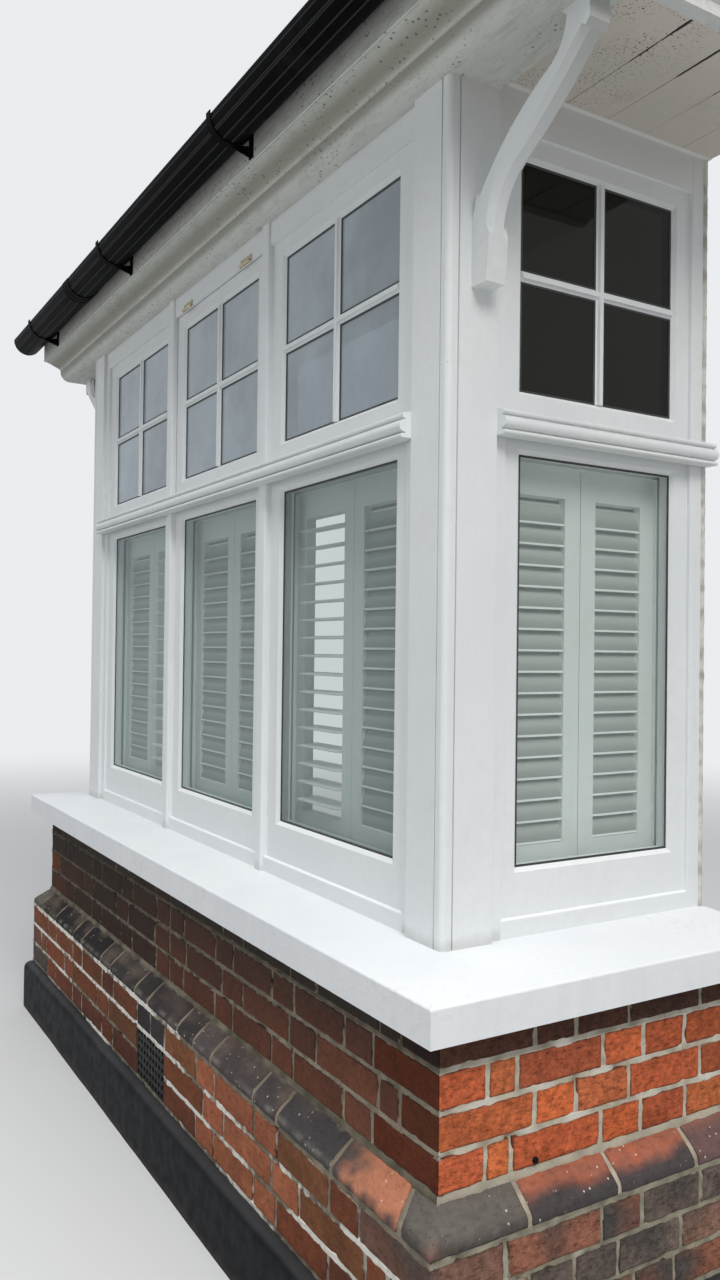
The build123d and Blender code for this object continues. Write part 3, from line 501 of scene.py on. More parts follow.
def splay_colour(base, side, s, x, y, t, big, small):
    tone = base
    if x < -1290 and y < -300:  # orange end special
        tone = blend((0.48, 0.17, 0.09), COAL, 0.05 + 0.6 * small)
    elif side and -205 < y < 240:  # two specials burnt below and red above
        red = blend((0.47, 0.148, 0.082), (0.33, 0.135, 0.094), 0.5 + small)
        tone = blend(scaled(base, 1.15), red, (t - 0.42) * 5.0 + big)
    elif side and y > 240:
        tone = blend((0.16, 0.095, 0.092), (0.31, 0.14, 0.105), (t - 0.7) * 3 + big)
    elif not side:
        tone = blend(base, (0.165, 0.122, 0.098), big + (0.18 if t > 0.55 else -0.14))
        tone = blend(tone, (0.26, 0.24, 0.22), 0.15 + small if t > 0.88 or 0.15 < t < 0.27 else 0.0)
        if 1060 < x < 1306:
            tone = blend(tone, (0.57, 0.23, 0.132), min((x - 1085) / 60, 2.2 * t + 0.15) + 0.9 * small)
    if side and y < -200 or (x > 1306 and not side):
        tone = blend((0.15, 0.137, 0.12), (0.08, 0.07, 0.062), (0.34 - t) * 4 + small)
        tip = max(0.0, 1.0 - math.hypot(s - RIGHT_CORNER, (t - 0.12) * 60) / 20.0)
        tone = blend(tone, (0.23, 0.12, 0.095), 0.9 * tip)
    return tone


def colour_at(base, course, side, s, z, x, y, patch, t):
    """A brick's colour at one point of it; t is the share of its height."""
    big, small = wave(x, y, z, 90, patch), wave(x, y, z, 28, patch + 3)
    if course == SPLAYED:
        return splay_colour(base, side, s, x, y, t, big, small)
    above = course > SPLAYED
    tone = base
    if side and LEFT_CORNER - 1 < s < RIGHT_CORNER + 1:  # the front end of a brick that turns the corner, darker than its return face partly by soot and partly as painted shade
        tone = scaled(tone, 0.16 if above else 0.6)
    tone = blend(tone, scaled(tone, 0.62), (0.0 if side and above else 0.35) + 0.6 * big)
    tone = blend(tone, tuple(min(1, c * 1.25) for c in tone), 0.3 + 0.8 * small)
    if side and above:  # shadowed foot and knocked ends
        dark = max(0.0, 1.0 - t / 0.1) * (0.75 + 1.2 * small) + max(0.0, (t - 0.94) / 0.06) * (0.25 + small)
        tone = blend(tone, (0.06, 0.034, 0.024), 0.75 * min(1.0, max(0.0, dark)))
    elif side:  # purple and grey skins
        tone = blend(tone, (0.096, 0.084, 0.078), 0.25 + 1.3 * big)
    elif above:  # soot and painted shade darken the bricks towards the sill
        tone = blend(tone, (0.03, 0.026, 0.022), 0.3 + 0.55 * (z - 600) / 190 + 0.2 * small)
    return tone


def section_of(course):
    """The face of a course's bricks."""
    if course == SPLAYED:
        return [(PLINTH, 420.0), (PLINTH, 437.0), (PLINTH - 2.2, 441.8), (7.0, 482.0), (2.0, 485.5), (-4.0, 487.0)]
    out, foot = PLINTH if course < SPLAYED else 0.0, FEET[course]
    return [(out, foot + 4.6), (out, 788.0 if course == 7 else foot + COURSE - 4.2)]


joints = {}
for course in range(8):
    out = PLINTH if course <= SPLAYED else 0.0
    fronts = SPLAY_FRONT if course == SPLAYED else front_bond(course in (1, 5, 7), SIDE + out)
    places = [s_front(x, out) for x in fronts]
    for y in RETURN[course]:
        places += [s_left(y, out), s_right(y, out)]
    if course in HOLED:
        hole = [s_front(x, out) for x in HOLE]
        places = [p for p in places if not hole[0] - 25 < p < hole[1] + 25] + hole
    joints[course] = sorted(places)
    ends = [-JOINT] + joints[course] + [TOTAL + JOINT]
    for a, b in zip(ends, ends[1:]):
        if course in HOLED and hole[0] - 1 < (a + b) / 2 < hole[1] + 1:
            continue
        start, stop = a + rng.uniform(3.0, 4.8), b - rng.uniform(3.0, 4.8)
        if course in HOLED and (a == hole[1] or b == hole[0]):  # tight to the air brick's hole
            start, stop = a + JOINT * (a != hole[1]), b - JOINT * (b != hole[0])
        lay(max(0.0, start), min(TOTAL, stop), section_of(course), course)

# ---- mortar
GREY, DIRTY, CREAM, WHITE = (0.33, 0.28, 0.215), (0.15, 0.13, 0.1), (0.62, 0.555, 0.44), (0.92, 0.89, 0.82)
CROSS = (-13.0, -8.5, -5.0, -1.8, 1.8, 5.0, 8.5, 13.0)
BED = 455  # below it the plinth's mortar, above it the upper wall's


def mortar_tone(x, y, z, side, lime):
    grain = wave(x, y, z, 24, 9)
    if side and z > BED:
        tone = blend((0.74, 0.68, 0.55), (0.48, 0.41, 0.31), 0.35 + 1.1 * grain)
    elif side:
        tone = blend((0.43, 0.39, 0.3), (0.23, 0.215, 0.16), 0.4 + 0.9 * grain)
    else:
        # darker above 600 mm, partly dirt and partly painted shade under the sill
        tone = blend(GREY, DIRTY, 0.35 + 0.8 * grain + (0.25 if z > 600 else 0.0))
        if z > BED:
            tone = blend(scaled(tone, 0.62), scaled(tone, 1.45), (x + 700) / 1900)
    # the joints under the sill are darker: painted shadow of the sill
    if z > 710:
        tone = scaled(tone, 0.55)
    return blend(tone, WHITE, lime)


def lime_at(x, y, z, side):
    """Where white lime was smeared over the joints."""
    if side:
        return 0.75 * max(0.0, wave(x, y, z, 70, 12) * 1.6 - 0.35) if z < BED else 0.2 + wave(x, y, z, 60, 12)
    if z > BED:
        return 0.0
    strength = wave(x, 0, z * 3, 210, 5) * 2.6 + 0.35
    if abs(z - 415) < 12:
        strength += 0.9 if x < -700 or -350 < x < 230 else (-4.0 if x > 260 else -0.6)
    elif abs(z - 340) < 12:
        strength += 0.9 if x < 100 or x > 1100 else -0.1
    elif abs(z - 265) < 12:
        strength += 0.5 if x < -900 or x > 100 else -0.5
    return min(1.0, max(0.0, strength + 1.3 * wave(x, 0, z, 17, 55)))


def joint_strip(points, upright):
    """A mortar joint. points are (s, out, z) along it."""
    def across(point, v):
        s, out, z = point
        s, z = (s + v, z) if upright else (s, z + v)
        x, y, nx, ny = along(min(max(s, 0), TOTAL), out)
        side = on_return(s)
        lime = lime_at(x, y, z, side) * (0.4 if upright else 1.0)
        sink = -2.9 + 1.7 * wave(x, y, z, 21, 6) + 1.2 * wave(x, y, z, 7, 7)
        sink += 1.5 * lime + (0.7 if side and z > BED else 0.0)
        sink -= min(6.0, max(0.0, wave(x, y, z, 34, 19) - 0.36) * 22.0 * (1.0 - lime))
        spill = max(0.0, wave(x, y, z, 27, 18 + (v > 0)) * 3.0)
        if abs(v) > 12:
            sink -= 7.0
        elif abs(v) > 7:
            sink -= 2.0 - 0.7 * lime - 0.8 * spill
        elif abs(v) > 4:
            sink += 0.6 * spill
        elif abs(v) < 3:
            sink -= 0.5
        return (x + nx * sink, y + ny * sink, z), mortar_tone(x, y, z, side, lime), 0.0

    mortar.sweep(points, CROSS, across, flip=upright)


def stations(a, b, step=7.0):
    count = max(2, round((b - a) / step))
    marks = [a + (b - a) * i / count for i in range(count + 1)]
    for corner in CORNERS:
        if a < corner < b:
            marks = sorted([m for m in marks if abs(m - corner) > 3.0] + [corner - 2.5, corner, corner + 2.5])
    return marks


for z in FEET:
    if z == FEET[SPLAYED + 1]:  # the fillet over the splay takes its place
        continue
    out = PLINTH if z < BED else 0.0
    for a, b in ((0.0, hole[0]), (hole[1], TOTAL)) if z == FEET[HOLED[-1]] else ((0.0, TOTAL), ):
        joint_strip([(s, out, z) for s in stations(a, b)], False)
for course, places in joints.items():
    if course == SPLAYED:
        continue
    out, foot = PLINTH if course < SPLAYED else 0.0, FEET[course] + 2
    for p in places:
        if course not in HOLED or p not in hole:
            s = p + 0.8 * wave(p, FEET[-1], 0, 20)
            joint_strip([(s, out, foot + (COURSE - 4) * i / 11) for i in range(12)], True)

SPLAY_JOINT = ((54.0, 417), (54.0, 428), (53.5, 437), (50.0, 443), (40.0, 454.5), (28.0, 464.0), (16.0, 473.5),
               (5.0, 481.0), (-3.0, 484))  # (out, z)
for p in joints[SPLAYED]:
    def across(place, v):
        out, z = place
        x, y, nx, ny = along(p + v, out)
        sink = -2.0 - (4.0 if abs(v) > 8 else 0.0) + 0.8 * wave(x, y, z, 9, 4)
        tone = blend(GREY, DIRTY, 0.25 + wave(x, y, z, 30, 2))
        if on_return(p):
            tone = blend(CREAM, GREY, 0.35 + wave(x, y, z, 20, 2))
        return (x + nx * sink, y + ny * sink, z + sink * 0.6), tone, 0.0

    mortar.sweep(SPLAY_JOINT, (-9.0, -5.0, -2.0, 2.0, 5.0, 9.0), across, flip=True)


def fillet(s, place):
    out, z = place
    x, y, nx, ny = along(s, out)
    bulge = 1.3 * wave(x, y, z, 34, 8) + 0.9 * wave(x, y, z, 9, 8)
    pale, dark, share = (0.33, 0.29, 0.215), (0.12, 0.104, 0.076), 0.7
    if on_return(s):
        pale, dark, share = (0.56, 0.51, 0.41), (0.3, 0.265, 0.205), 0.1
    tone = blend(pale, dark, share + 0.8 * wave(x, y, z, 40, 2))
    return (x + nx * bulge, y + ny * bulge, z + bulge), tone, 0.0


FILLET = ((4.0, 476.0), (3.6, 483.0), (2.4, 487.2), (1.0, 490.0), (-0.4, 492.5), (-1.8, 495.0), (-9.0, 499.0))
mortar.sweep(stations(0, TOTAL, 8.0), FILLET, fillet)

# the walls' core, 12 mm behind the bricks' faces, with its real thickness
SET, IN_FRONT, IN_SIDE = 12.0, -154.7, 1135.0
WALL_TOP, PLINTH_TOP, AIR_FOOT, AIR_HEAD = 790, 440, 190, 344
CORE_SIDE, CORE_FRONT = SIDE - SET, FRONT + SET
FOOT_SIDE, FOOT_FRONT = CORE_SIDE + PLINTH, CORE_FRONT - PLINTH
for box in (
    ((-CORE_SIDE, CORE_SIDE), (CORE_FRONT, IN_FRONT), (0, WALL_TOP)),
    ((-CORE_SIDE, -IN_SIDE), (IN_FRONT, HOUSE), (0, WALL_TOP)),
    ((IN_SIDE, CORE_SIDE), (IN_FRONT, HOUSE), (0, WALL_TOP)),
    ((-FOOT_SIDE, HOLE[0]), (FOOT_FRONT, CORE_FRONT), (0, PLINTH_TOP)),
    ((HOLE[1], FOOT_SIDE), (FOOT_FRONT, CORE_FRONT), (0, PLINTH_TOP)),
    (HOLE, (FOOT_FRONT, CORE_FRONT), (0, AIR_FOOT)),
    (HOLE, (FOOT_FRONT, CORE_FRONT), (AIR_HEAD, PLINTH_TOP)),
    ((-FOOT_SIDE, -CORE_SIDE), (CORE_FRONT, HOUSE), (0, PLINTH_TOP)),
    ((CORE_SIDE, FOOT_SIDE), (CORE_FRONT, HOUSE), (0, PLINTH_TOP)),
):
    mortar.box(*box, tone=(0.33, 0.3, 0.25))

sh = Shader("brick", 0.88, Specular_IOR_Level=0.22)
tone, edge, grit = sh.held("tone"), sh.held("edge", "Fac"), sh.held("tone", "Alpha")
coarse, grain, crease = sh.noise(62, 6, 0.72), sh.noise(240, 4, 0.75), sh.streaks((46, 46, 150), 6, 0.74)
pits = sh.flecks(95, (0.05, 0.17), sh.noise(23, 2), (0.5, 0.62), at=sh.stretch((1, 1, 1.4)))
sh.colour = tone
for source, low, high, most, other, kind in (
    (coarse, 0.42, 0.66, 0.52, (0.3, 0.25, 0.24), "MULTIPLY"),
    (coarse, 0.46, 0.3, 0.26, tone, "ADD"),
    (crease, 0.54, 0.64, 0.75, (0.28, 0.21, 0.19), "MULTIPLY"),
    (crease, 0.49, 0.36, 0.24, tone, "ADD"),
    (grain, 0.62, 0.72, 0.26, (0.72, 0.5, 0.38), "MIX"),
):
    sh.over(sh.times(grit, sh.rise(source, low, high, most)), other, kind)
sh.over(sh.times(pits, 0.85), (0.03, 0.024, 0.022))
sh.over(sh.flecks(210, (0.0, 0.11), sh.noise(9, 2), (0.52, 0.7)), (0.78, 0.74, 0.68))
drops = sh.flecks(1.0, (0.05, 0.14), sh.noise(5, 3), (0.42, 0.54), at=sh.stretch((55, 55, 38)))
sh.over(sh.times(drops, sh.band("Z", 0.418, 0.422, 0.486, 0.49)), (0.8, 0.78, 0.74))
# dark along each brick's edges: painted shade where the brick meets its joints
ragged = sh.sum(edge, (sh.noise(120, 3), -9.0))
sh.over(sh.fall(ragged, -4.6, 0.2, 0.72), (0.05, 0.036, 0.03))
sh.over(sh.times(sh.fall(ragged, -3.4, -1.4), sh.rise(sh.noise(15, 3), 0.56, 0.64, 0.7)), (0.4, 0.35, 0.28))
brick_mat = sh.done(sh.times(sh.sum(coarse, (grain, 0.5), (crease, 0.9), (pits, -1.1)), grit), 0.0042)

sh = Shader("mortar", 0.95, Specular_IOR_Level=0.2)
sh.colour = sh.held("tone")
sand, lumps = sh.noise(520, 3, 0.75), sh.noise(110, 4, 0.6)
sh.over(sh.rise(sand, 0.4, 0.7, 0.22), (0.52, 0.46, 0.38), "MULTIPLY")
sh.over(sh.rise(lumps, 0.56, 0.72, 0.4), (0.5, 0.45, 0.36), "MULTIPLY")
spots = sh.fall(sh.cells(120), 0.0, 0.1, 0.7)
sh.over(spots, (0.13, 0.11, 0.085))
mortar_mat = sh.done(sh.sum((sand, 0.6), (lumps, 1.3), (spots, -0.9)), 0.003)

bricks.piece("bricks", brick_mat, "brick", ("brick_wall_front", "brick_wall_left", "brick_wall_right"), tones=True,
             values="edge")
mortar.piece("mortar", mortar_mat, "brick", tones=True)

# ---- tarred skirt
skirt = Mesh()
SKIRT = [(28.5, 19.0 * i) for i in range(9)] + [
    (28.0, 160.0), (26.6, 168.0), (23.5, 175.0), (19.0, 181.0), (13.0, 185.5), (7.0, 187.5), (0.0, 188.0),
    (-8.0, 184.0)]  # (out from the plinth, z)


def tarred(s, place):
    out, z = place
    x, y, nx, ny = along(s, PLINTH + out)
    slump = 1.2 * wave(x, y, z, 170, 21) + 0.35 * wave(x, y, z, 45, 22)
    lift = 2.2 * wave(x, y, 0, 190, 24) + 0.6 * wave(x, y, 0, 55, 25) - 2.0
    top = min(1.0, max(0.0, (z - 140) / 40))
    if min(abs(s - corner) for corner in CORNERS) < 3:  # rounded corners
        slump -= 2.5
    if s in CORNERS:
        nx, ny = -0.8 if s == LEFT_CORNER else 0.8, -0.8
    slump = min(slump, 1.4)
    return (x + nx * slump, y + ny * slump, max(0.0, z + lift * top if z else 0.0)), PLAIN, top


rows, _ = skirt.sweep(stations(0, TOTAL, 11.0), SKIRT, tarred)
for end in (rows[0], rows[-1]):  # close the ends at the house wall
    inner = [(math.copysign(SIDE + PLINTH - 8, end[0][0]), end[0][1], p[2]) for p in end]
    skirt.grid([end, inner], flip=end is rows[0])
sh = Shader("bitumen", 0.7, Specular_IOR_Level=0.07)
lumps, fine = sh.noise(26, 4, 0.6), sh.noise(190, 3, 0.6)
sh.colour = sh.mix(sh.rise(lumps, 0.35, 0.7), (0.006, 0.007, 0.0085), (0.01, 0.011, 0.013))
sh.over(sh.rise(sh.sum(sh.held("top", "Fac"), (sh.noise(4, 4, 0.6), 0.4)), 0.95, 1.25, 0.6), (0.06, 0.06, 0.062))
sh.over(sh.flecks(70, (0.0, 0.085), sh.noise(11, 2), (0.56, 0.64)), (0.42, 0.4, 0.37))
sh.over(sh.fall(sh.sum(sh.axis("Z"), (sh.noise(30, 3), 0.05)), 0.03, 0.06, 0.2), (0.1, 0.085, 0.07))
bitumen = sh.done(sh.sum(lumps, (fine, 0.5)), 0.0004, sh.span(lumps, 0.3, 0.7, 0.6, 0.5))
skirt.piece("tar_skirt", bitumen, "bitumen", ("skirt_front", "skirt_sides"), values="top")

# ---- painted timber and stone
PAINT = (0.8, 0.82, 0.83)
UPRIGHT, LEVEL = (260, 260, 7), (7, 7, 260)  # brush marks


def paint(name, colour, grain, dirt=0.3, rough=0.42, specks=0.0, cracks=0.0, ledge=0.0):
    """Brushed paint. grain is the stretch of its brush marks, long along its smallest number."""
    sh = Shader(name, rough)
    brush, cloud, fine = sh.streaks(grain), sh.noise(3.2, 4, 0.6), sh.noise(38, 4, 0.62)
    duller = tuple(c * f for c, f in zip(colour, (0.965, 0.97, 0.975)))
    sh.colour = sh.mix(sh.rise(cloud, 0.34, 0.66), duller, scaled(colour, 1.02))
    sh.over(sh.rise(brush, 0.3, 0.72, 0.14), scaled(colour, 0.86))
    # up-facing faces lighter: painted light on the tops
    sh.over(sh.rise(sh.normal("Z"), 0.3, 0.75, ledge), (0.93, 0.945, 0.955))
    sh.over(sh.rise(sh.sum(cloud, (fine, 0.5)), 0.74, 0.98, dirt), (0.34, 0.33, 0.28))
    if ledge:  # side faces under the eaves darker: painted shade of the eaves
        eaves_shade = sh.times(sh.rise(sh.axis("Z"), 2.42, 2.63, 0.5), sh.math("ABSOLUTE", sh.normal("X")))
        sh.over(eaves_shade, (0.48, 0.455, 0.43))
    sh.height = sh.sum((brush, 0.8), (fine, 0.25))
    if specks:
        sh.over(sh.flecks(88, (0.02, 0.13), sh.noise(8, 4), (0.5, 0.62), specks), (0.03, 0.028, 0.024))
    if cracks:
        shift = sh.put("VectorMath", {0: sh.noise(22, 3, out=1), 3: 0.035}, operation="SCALE")
        bent = sh.put("VectorMath", {0: sh.at, 1: shift}, operation="ADD")
        line = sh.times(sh.fall(sh.cells(24, bent, "DISTANCE_TO_EDGE"), 0.004, 0.03),
                        sh.rise(sh.noise(7, 3), 0.5, 0.6, cracks), sh.span(sh.axis("Z"), 2.72, 2.86, 1.0, 0.06))
        sh.over(line, (0.1, 0.095, 0.085))
        sh.height = sh.sum(sh.height, (line, -1.5))
    return sh


def plain_paint(name, colour, grain, **more):
    sh = paint(name, colour, grain, **more)
    return sh.done(sh.height, 0.0005)


upright = plain_paint("paint_upright", PAINT, UPRIGHT, dirt=0.07, ledge=0.85)
dress(upright, "wall_jambs", "lower_sashes_front", "lower_sash_left", "lower_sash_right", "top_lights_front",
      "top_light_left", "top_light_right")
dress(plain_paint("paint_level", PAINT, LEVEL, dirt=0.07, ledge=0.85), "frame_cill", "frame_head")

# posts: a nail hole, a dot and grime where they stand on the sill
sh = paint("paint_posts", PAINT, UPRIGHT, dirt=0.07, ledge=0.6)
sh.over(sh.fall(sh.sum(sh.axis("Z"), (sh.noise(35, 4), -0.03)), 0.862, 0.892, 0.4), (0.38, 0.38, 0.34))
for point, radius in (((1.204, -0.2647, 2.035), 0.0042), ((0.4357, -0.2647, 1.392), 0.0035)):
    sh.over(sh.near(point, radius), (0.03, 0.028, 0.025))
worn = sh.times(sh.rise(sh.noise(17, 5, 0.7), 0.66, 0.7), sh.rise(sh.axis("Z"), 2.3, 2.62, 0.5))
sh.over(worn, (0.5, 0.49, 0.45))
dress(sh.done(sh.height, 0.0008), "corner_post_left", "corner_post_right", "mullions")

sh = paint("paint_transom", PAINT, LEVEL, dirt=0.15)
# down-facing faces darker: painted shade
sh.over(sh.fall(sh.normal("Z"), -0.9, -0.1, 0.15), (0.55, 0.55, 0.5))
crest = sh.times(sh.rise(sh.normal("Z"), 0.55, 0.95), sh.rise(sh.noise(60, 4, 0.7), 0.46, 0.66, 0.14))
sh.over(crest, (0.42, 0.42, 0.37))
dress(sh.done(sh.height, 0.0008), "transom_front", "transom_left", "transom_right")

# shutters: painted shade on each blade, darkest at its foot, and a painted highlight along its nose
BLADES_FOOT, BLADE_PITCH = 1.04566, 0.046712  # m
sh = paint("shutter_paint", (0.91, 0.93, 0.92), (9, 9, 220), dirt=0.08, rough=0.5)
lean = sh.math("ABSOLUTE", sh.normal("Z"))
step = sh.math("FRACT", sh.math("DIVIDE", sh.math("SUBTRACT", sh.axis("Z"), BLADES_FOOT), BLADE_PITCH))
blade_shade_and_highlight = sh.mix(sh.rise(step, 0.1, 0.95), (0.34, 0.355, 0.345), (0.62, 0.64, 0.625))
blade_shade_and_highlight = sh.mix(sh.fall(step, 0.095, 0.125), blade_shade_and_highlight, (0.98, 0.99, 0.98))
sh.over(sh.times(sh.rise(lean, 0.06, 0.2), sh.fall(lean, 0.45, 0.7, 0.9)), blade_shade_and_highlight)
dress(sh.done(sh.height, 0.0006), "shutters_front", "shutters_left", "shutters_right")
dress(plain_paint("interior_paint", (0.78, 0.78, 0.76), (30, 8, 30), dirt=0.15, rough=0.7),
      "bay_ceiling", "window_board")

# sill: smooth masonry paint, slightly grey at its edge
sh = Shader("sill_paint", 0.5)
cloud, fine, pore = sh.noise(2.6, 4, 0.6), sh.noise(60, 4, 0.6), sh.noise(300, 2, 0.6)
sh.colour = sh.mix(sh.rise(cloud, 0.35, 0.65), (0.805, 0.822, 0.85), (0.85, 0.862, 0.88))
streak = sh.rise(sh.streaks((30, 30, 4)), 0.42, 0.72, 0.12)
sh.over(sh.times(sh.fall(sh.normal("Z"), 0.2, 0.8), streak), (0.55, 0.57, 0.6))
sh.over(sh.rise(sh.sum(cloud, (fine, 0.6)), 0.86, 1.08, 0.25), (0.5, 0.5, 0.46))
sh.over(sh.flecks(130, (0.0, 0.1), sh.noise(6, 3), (0.55, 0.68), 0.6), (0.3, 0.29, 0.26))
# down-facing faces darker: painted shade under the sill
sh.over(sh.fall(sh.normal("Z"), -0.9, -0.5, 0.5), (0.38, 0.37, 0.34))
dress(sh.done(sh.sum(fine, (pore, 0.3), (cloud, 2.0)), 0.0012), "sill_front", "sill_left", "sill_right")

# ---- eaves: weathered and speckled, with painted shade along the beam's groove and underside
sh = paint("eaves_paint", (0.64, 0.645, 0.61), (6, 90, 90), dirt=0.3, rough=0.6, specks=0.9)
# two darker bands along the beam's groove and underside: painted shade
sh.over(sh.band("Z", 2.65, 2.664, 2.668, 2.684, 0.75), (0.235, 0.225, 0.165))
sh.over(sh.band("Z", 2.618, 2.636, 2.648, 2.654, 0.72), (0.23, 0.225, 0.18))
sh.over(sh.rise(sh.streaks((14, 50, 50), 6, 0.75), 0.46, 0.7, 0.34), (0.28, 0.275, 0.245))
fly = sh.flecks(66, (0.13, 0.25), sh.streaks((5, 16, 16)), (0.45, 0.56))
dust = sh.flecks(170, (0.12, 0.3), sh.streaks((7, 20, 20)), (0.5, 0.6), 0.8)
fly = sh.times(sh.math("MAXIMUM", fly, dust), sh.span(sh.axis("Z"), 2.645, 2.7, 0.6, 0.9))
sh.over(fly, (0.035, 0.034, 0.03))
dress(sh.done(sh.height, 0.0016), "eaves_beam", "fascia")

sh = paint("end_board_paint", (0.7, 0.71, 0.7), (60, 8, 60), dirt=0.4, rough=0.5, specks=0.4, cracks=0.75)
dress(sh.done(sh.height, 0.0022), "end_boards")

sh = paint("bracket_paint", (0.8, 0.825, 0.832), (60, 60, 26), dirt=0.12, specks=0.1)
# the side and under facets darker, more so towards the soffit: painted shade
painted_light = sh.rise(sh.sum(sh.math("ABSOLUTE", sh.normal("X")), (sh.normal("Z"), -0.7)), 0.35, 1.15)
sh.over(sh.times(painted_light, sh.span(sh.axis("Z"), 2.36, 2.6, 0.1, 0.76)), (0.31, 0.305, 0.29))
dress(sh.done(sh.height, 0.0014), "bracket_left", "bracket_right")

# ---- soffit boards with cracked joints
sh = paint("soffit_paint", (0.63, 0.578, 0.522), (7, 120, 120), dirt=0.25, rough=0.7, specks=0.35)
sh.over(sh.rise(sh.noise(6.5, 5, 0.7), 0.55, 0.72, 0.35), (0.42, 0.385, 0.335))
# lighter towards the outer edge, where more light reaches: painted light
sh.over(sh.rise(sh.math("ABSOLUTE", sh.axis("X")), 1.38, 1.58, 0.35), (0.86, 0.8, 0.73))
fly = sh.times(sh.flecks(75, (0.1, 0.24), sh.noise(13, 4), (0.47, 0.57)),
               sh.span(sh.axis("Y"), 0.0, 0.16, 1.0, 0.1))
dust = sh.times(sh.flecks(165, (0.12, 0.34), sh.noise(11, 4), (0.44, 0.52)), sh.fall(sh.axis("Y"), 0.02, 0.2, 0.85))
sh.over(sh.math("MAXIMUM", fly, dust), (0.045, 0.04, 0.034))
sh.over(1.0, sh.held("tone"), "MULTIPLY")
soffit_mat = sh.done(sh.height, 0.0018)
soffit = Mesh()
BOARDS = (178.0, 120.0, 116.0, 119.0, 101.0)
SOFFIT_FRONT, SOFFIT_NEAR, SOFFIT_FAR = -138.7, 1205.0, 1550.0
SOFFIT_LOW, SOFFIT_HIGH = 2632.0, 2650.0


def board_edge(x, y, joint, way):
    """Where the edge of a board runs beside a joint, and how far that joint has opened: most at the outer
    edge, here and there nearer the wall."""
    gap = 0.0
    if 0 < joint < len(BOARDS):
        gap = min(5.0, max(0.0, wave(x, joint * 50, 3, 48, 30) * 4.2 + (x - 1350.0) / 45.0))
    jag = 1.5 * wave(x, y, 0, 9, 40 + joint) if gap > 0.6 else 0.0
    return min(y + 0.6 * (way * gap + jag), HOUSE), gap


for sign in (-1, 1):
    high = SOFFIT_FRONT
    for i, wide in enumerate(BOARDS):
        low, high = high, min(high + wide, HOUSE)
        rows, tones = [], []
        for j in range(47):
            x = SOFFIT_NEAR + (SOFFIT_FAR - SOFFIT_NEAR) * j / 46
            (a, gap), (b, gap_high) = board_edge(x, low, i, 1), board_edge(x, high, i + 1, -1)
            z = SOFFIT_LOW + 0.8 * wave(x, low, 9, 240, 50 + i) + 0.8
            face = [a + 1.5] + [a + (b - a) * k / 7 for k in range(1, 7)] + [b - 1.5]
            line = [(a, SOFFIT_HIGH), (a, z + 1.2)] + [(y, z) for y in face] + [(b, z + 1.2), (b, SOFFIT_HIGH)]
            rows.append([(sign * x, *place) for place in line])
            # the boards' sides at each joint are darkened as painted shade, nearly black where the joint is open
            near, far = (scaled(PLAIN, 0.1 if g > 1.2 else 0.62) for g in (gap, gap_high))
            tones.append([near] * 2 + [PLAIN] * len(face) + [far] * 2)
        soffit.grid(rows, tones, flip=sign < 0)
        soffit.cap(rows[0], flip=sign < 0)
        soffit.cap(rows[-1], flip=sign > 0)
    # the battens that show in the open joints, tinted near-black as painted shade in the joints
    soffit.box(sorted((sign * 1212.0, sign * 1545.0)), (-130.0, HOUSE - 4), (2646.0, SOFFIT_HIGH), (0.06,) * 3)
soffit.piece("soffit_boards", soffit_mat, "soffit_paint", ("side_soffits",), tones=True, smooth=False)


# ---- glass
def glass(name, clear, veil, mirror, top_clear, top_veil, strength, top_strength):
    """Glazing that shows what stands close behind it. The upper panes let less through, as painted shade of a dim
    room behind them, and the veil, a diffuse haze tint, is a painted reflection of the sky on the front panes and
    painted shade on the side's upper panes. Only the outer side of a face shines, so that a ray leaves the pane as it
    came."""
    sh = Shader(name)
    high = sh.rise(sh.axis("Z"), 1.93, 1.95)
    outside = sh.math("SUBTRACT", 1.0, sh.put("NewGeometry", {}, "Backfacing"))
    film = sh.span(sh.noise(2.4, 4, 0.6), 0.35, 0.7, 0.75, 1.25)
    through = sh.put("BsdfTransparent", {"Color": sh.mix(high, clear, top_clear)})
    painted_light = sh.put("BsdfDiffuse", {"Color": sh.mix(high, veil, top_veil)})
    ripple = sh.put("Bump", {"Height": sh.noise(2.1, 2), "Distance": 0.004, "Strength": 0.3})
    shine = sh.put("BsdfGlossy", {"Color": (*mirror, 1.0), "Roughness": 0.03, "Normal": ripple})
    slant = sh.times(sh.put("Fresnel", {"IOR": 1.5}), sh.span(high, 0.0, 1.0, strength, top_strength), outside)
    haze = sh.times(sh.span(high, 0.0, 1.0, 0.06, 0.55), film, outside)
    inner = sh.put("MixShader", {0: haze, 1: through, 2: painted_light})
    outer = sh.put("MixShader", {0: slant, 1: inner, 2: shine})
    sh.links.new(outer, sh.nodes["Material Output"].inputs["Surface"])
    sh.nodes.remove(sh.bsdf)
    return sh.mat


dress(glass("glass_front", (0.835, 0.868, 0.86), (0.42, 0.48, 0.49), (0.9, 0.94, 1.0), (0.3, 0.33, 0.35),
            (0.5, 0.585, 0.63), 0.5, 1.2), "glass_front")
dress(glass("glass_side", (0.925, 0.945, 0.937), (0.3, 0.33, 0.32), (0.5, 0.5, 0.48), (0.1, 0.1, 0.09),
            (0.016, 0.016, 0.013), 0.5, 0.7), "glass_left", "glass_right")

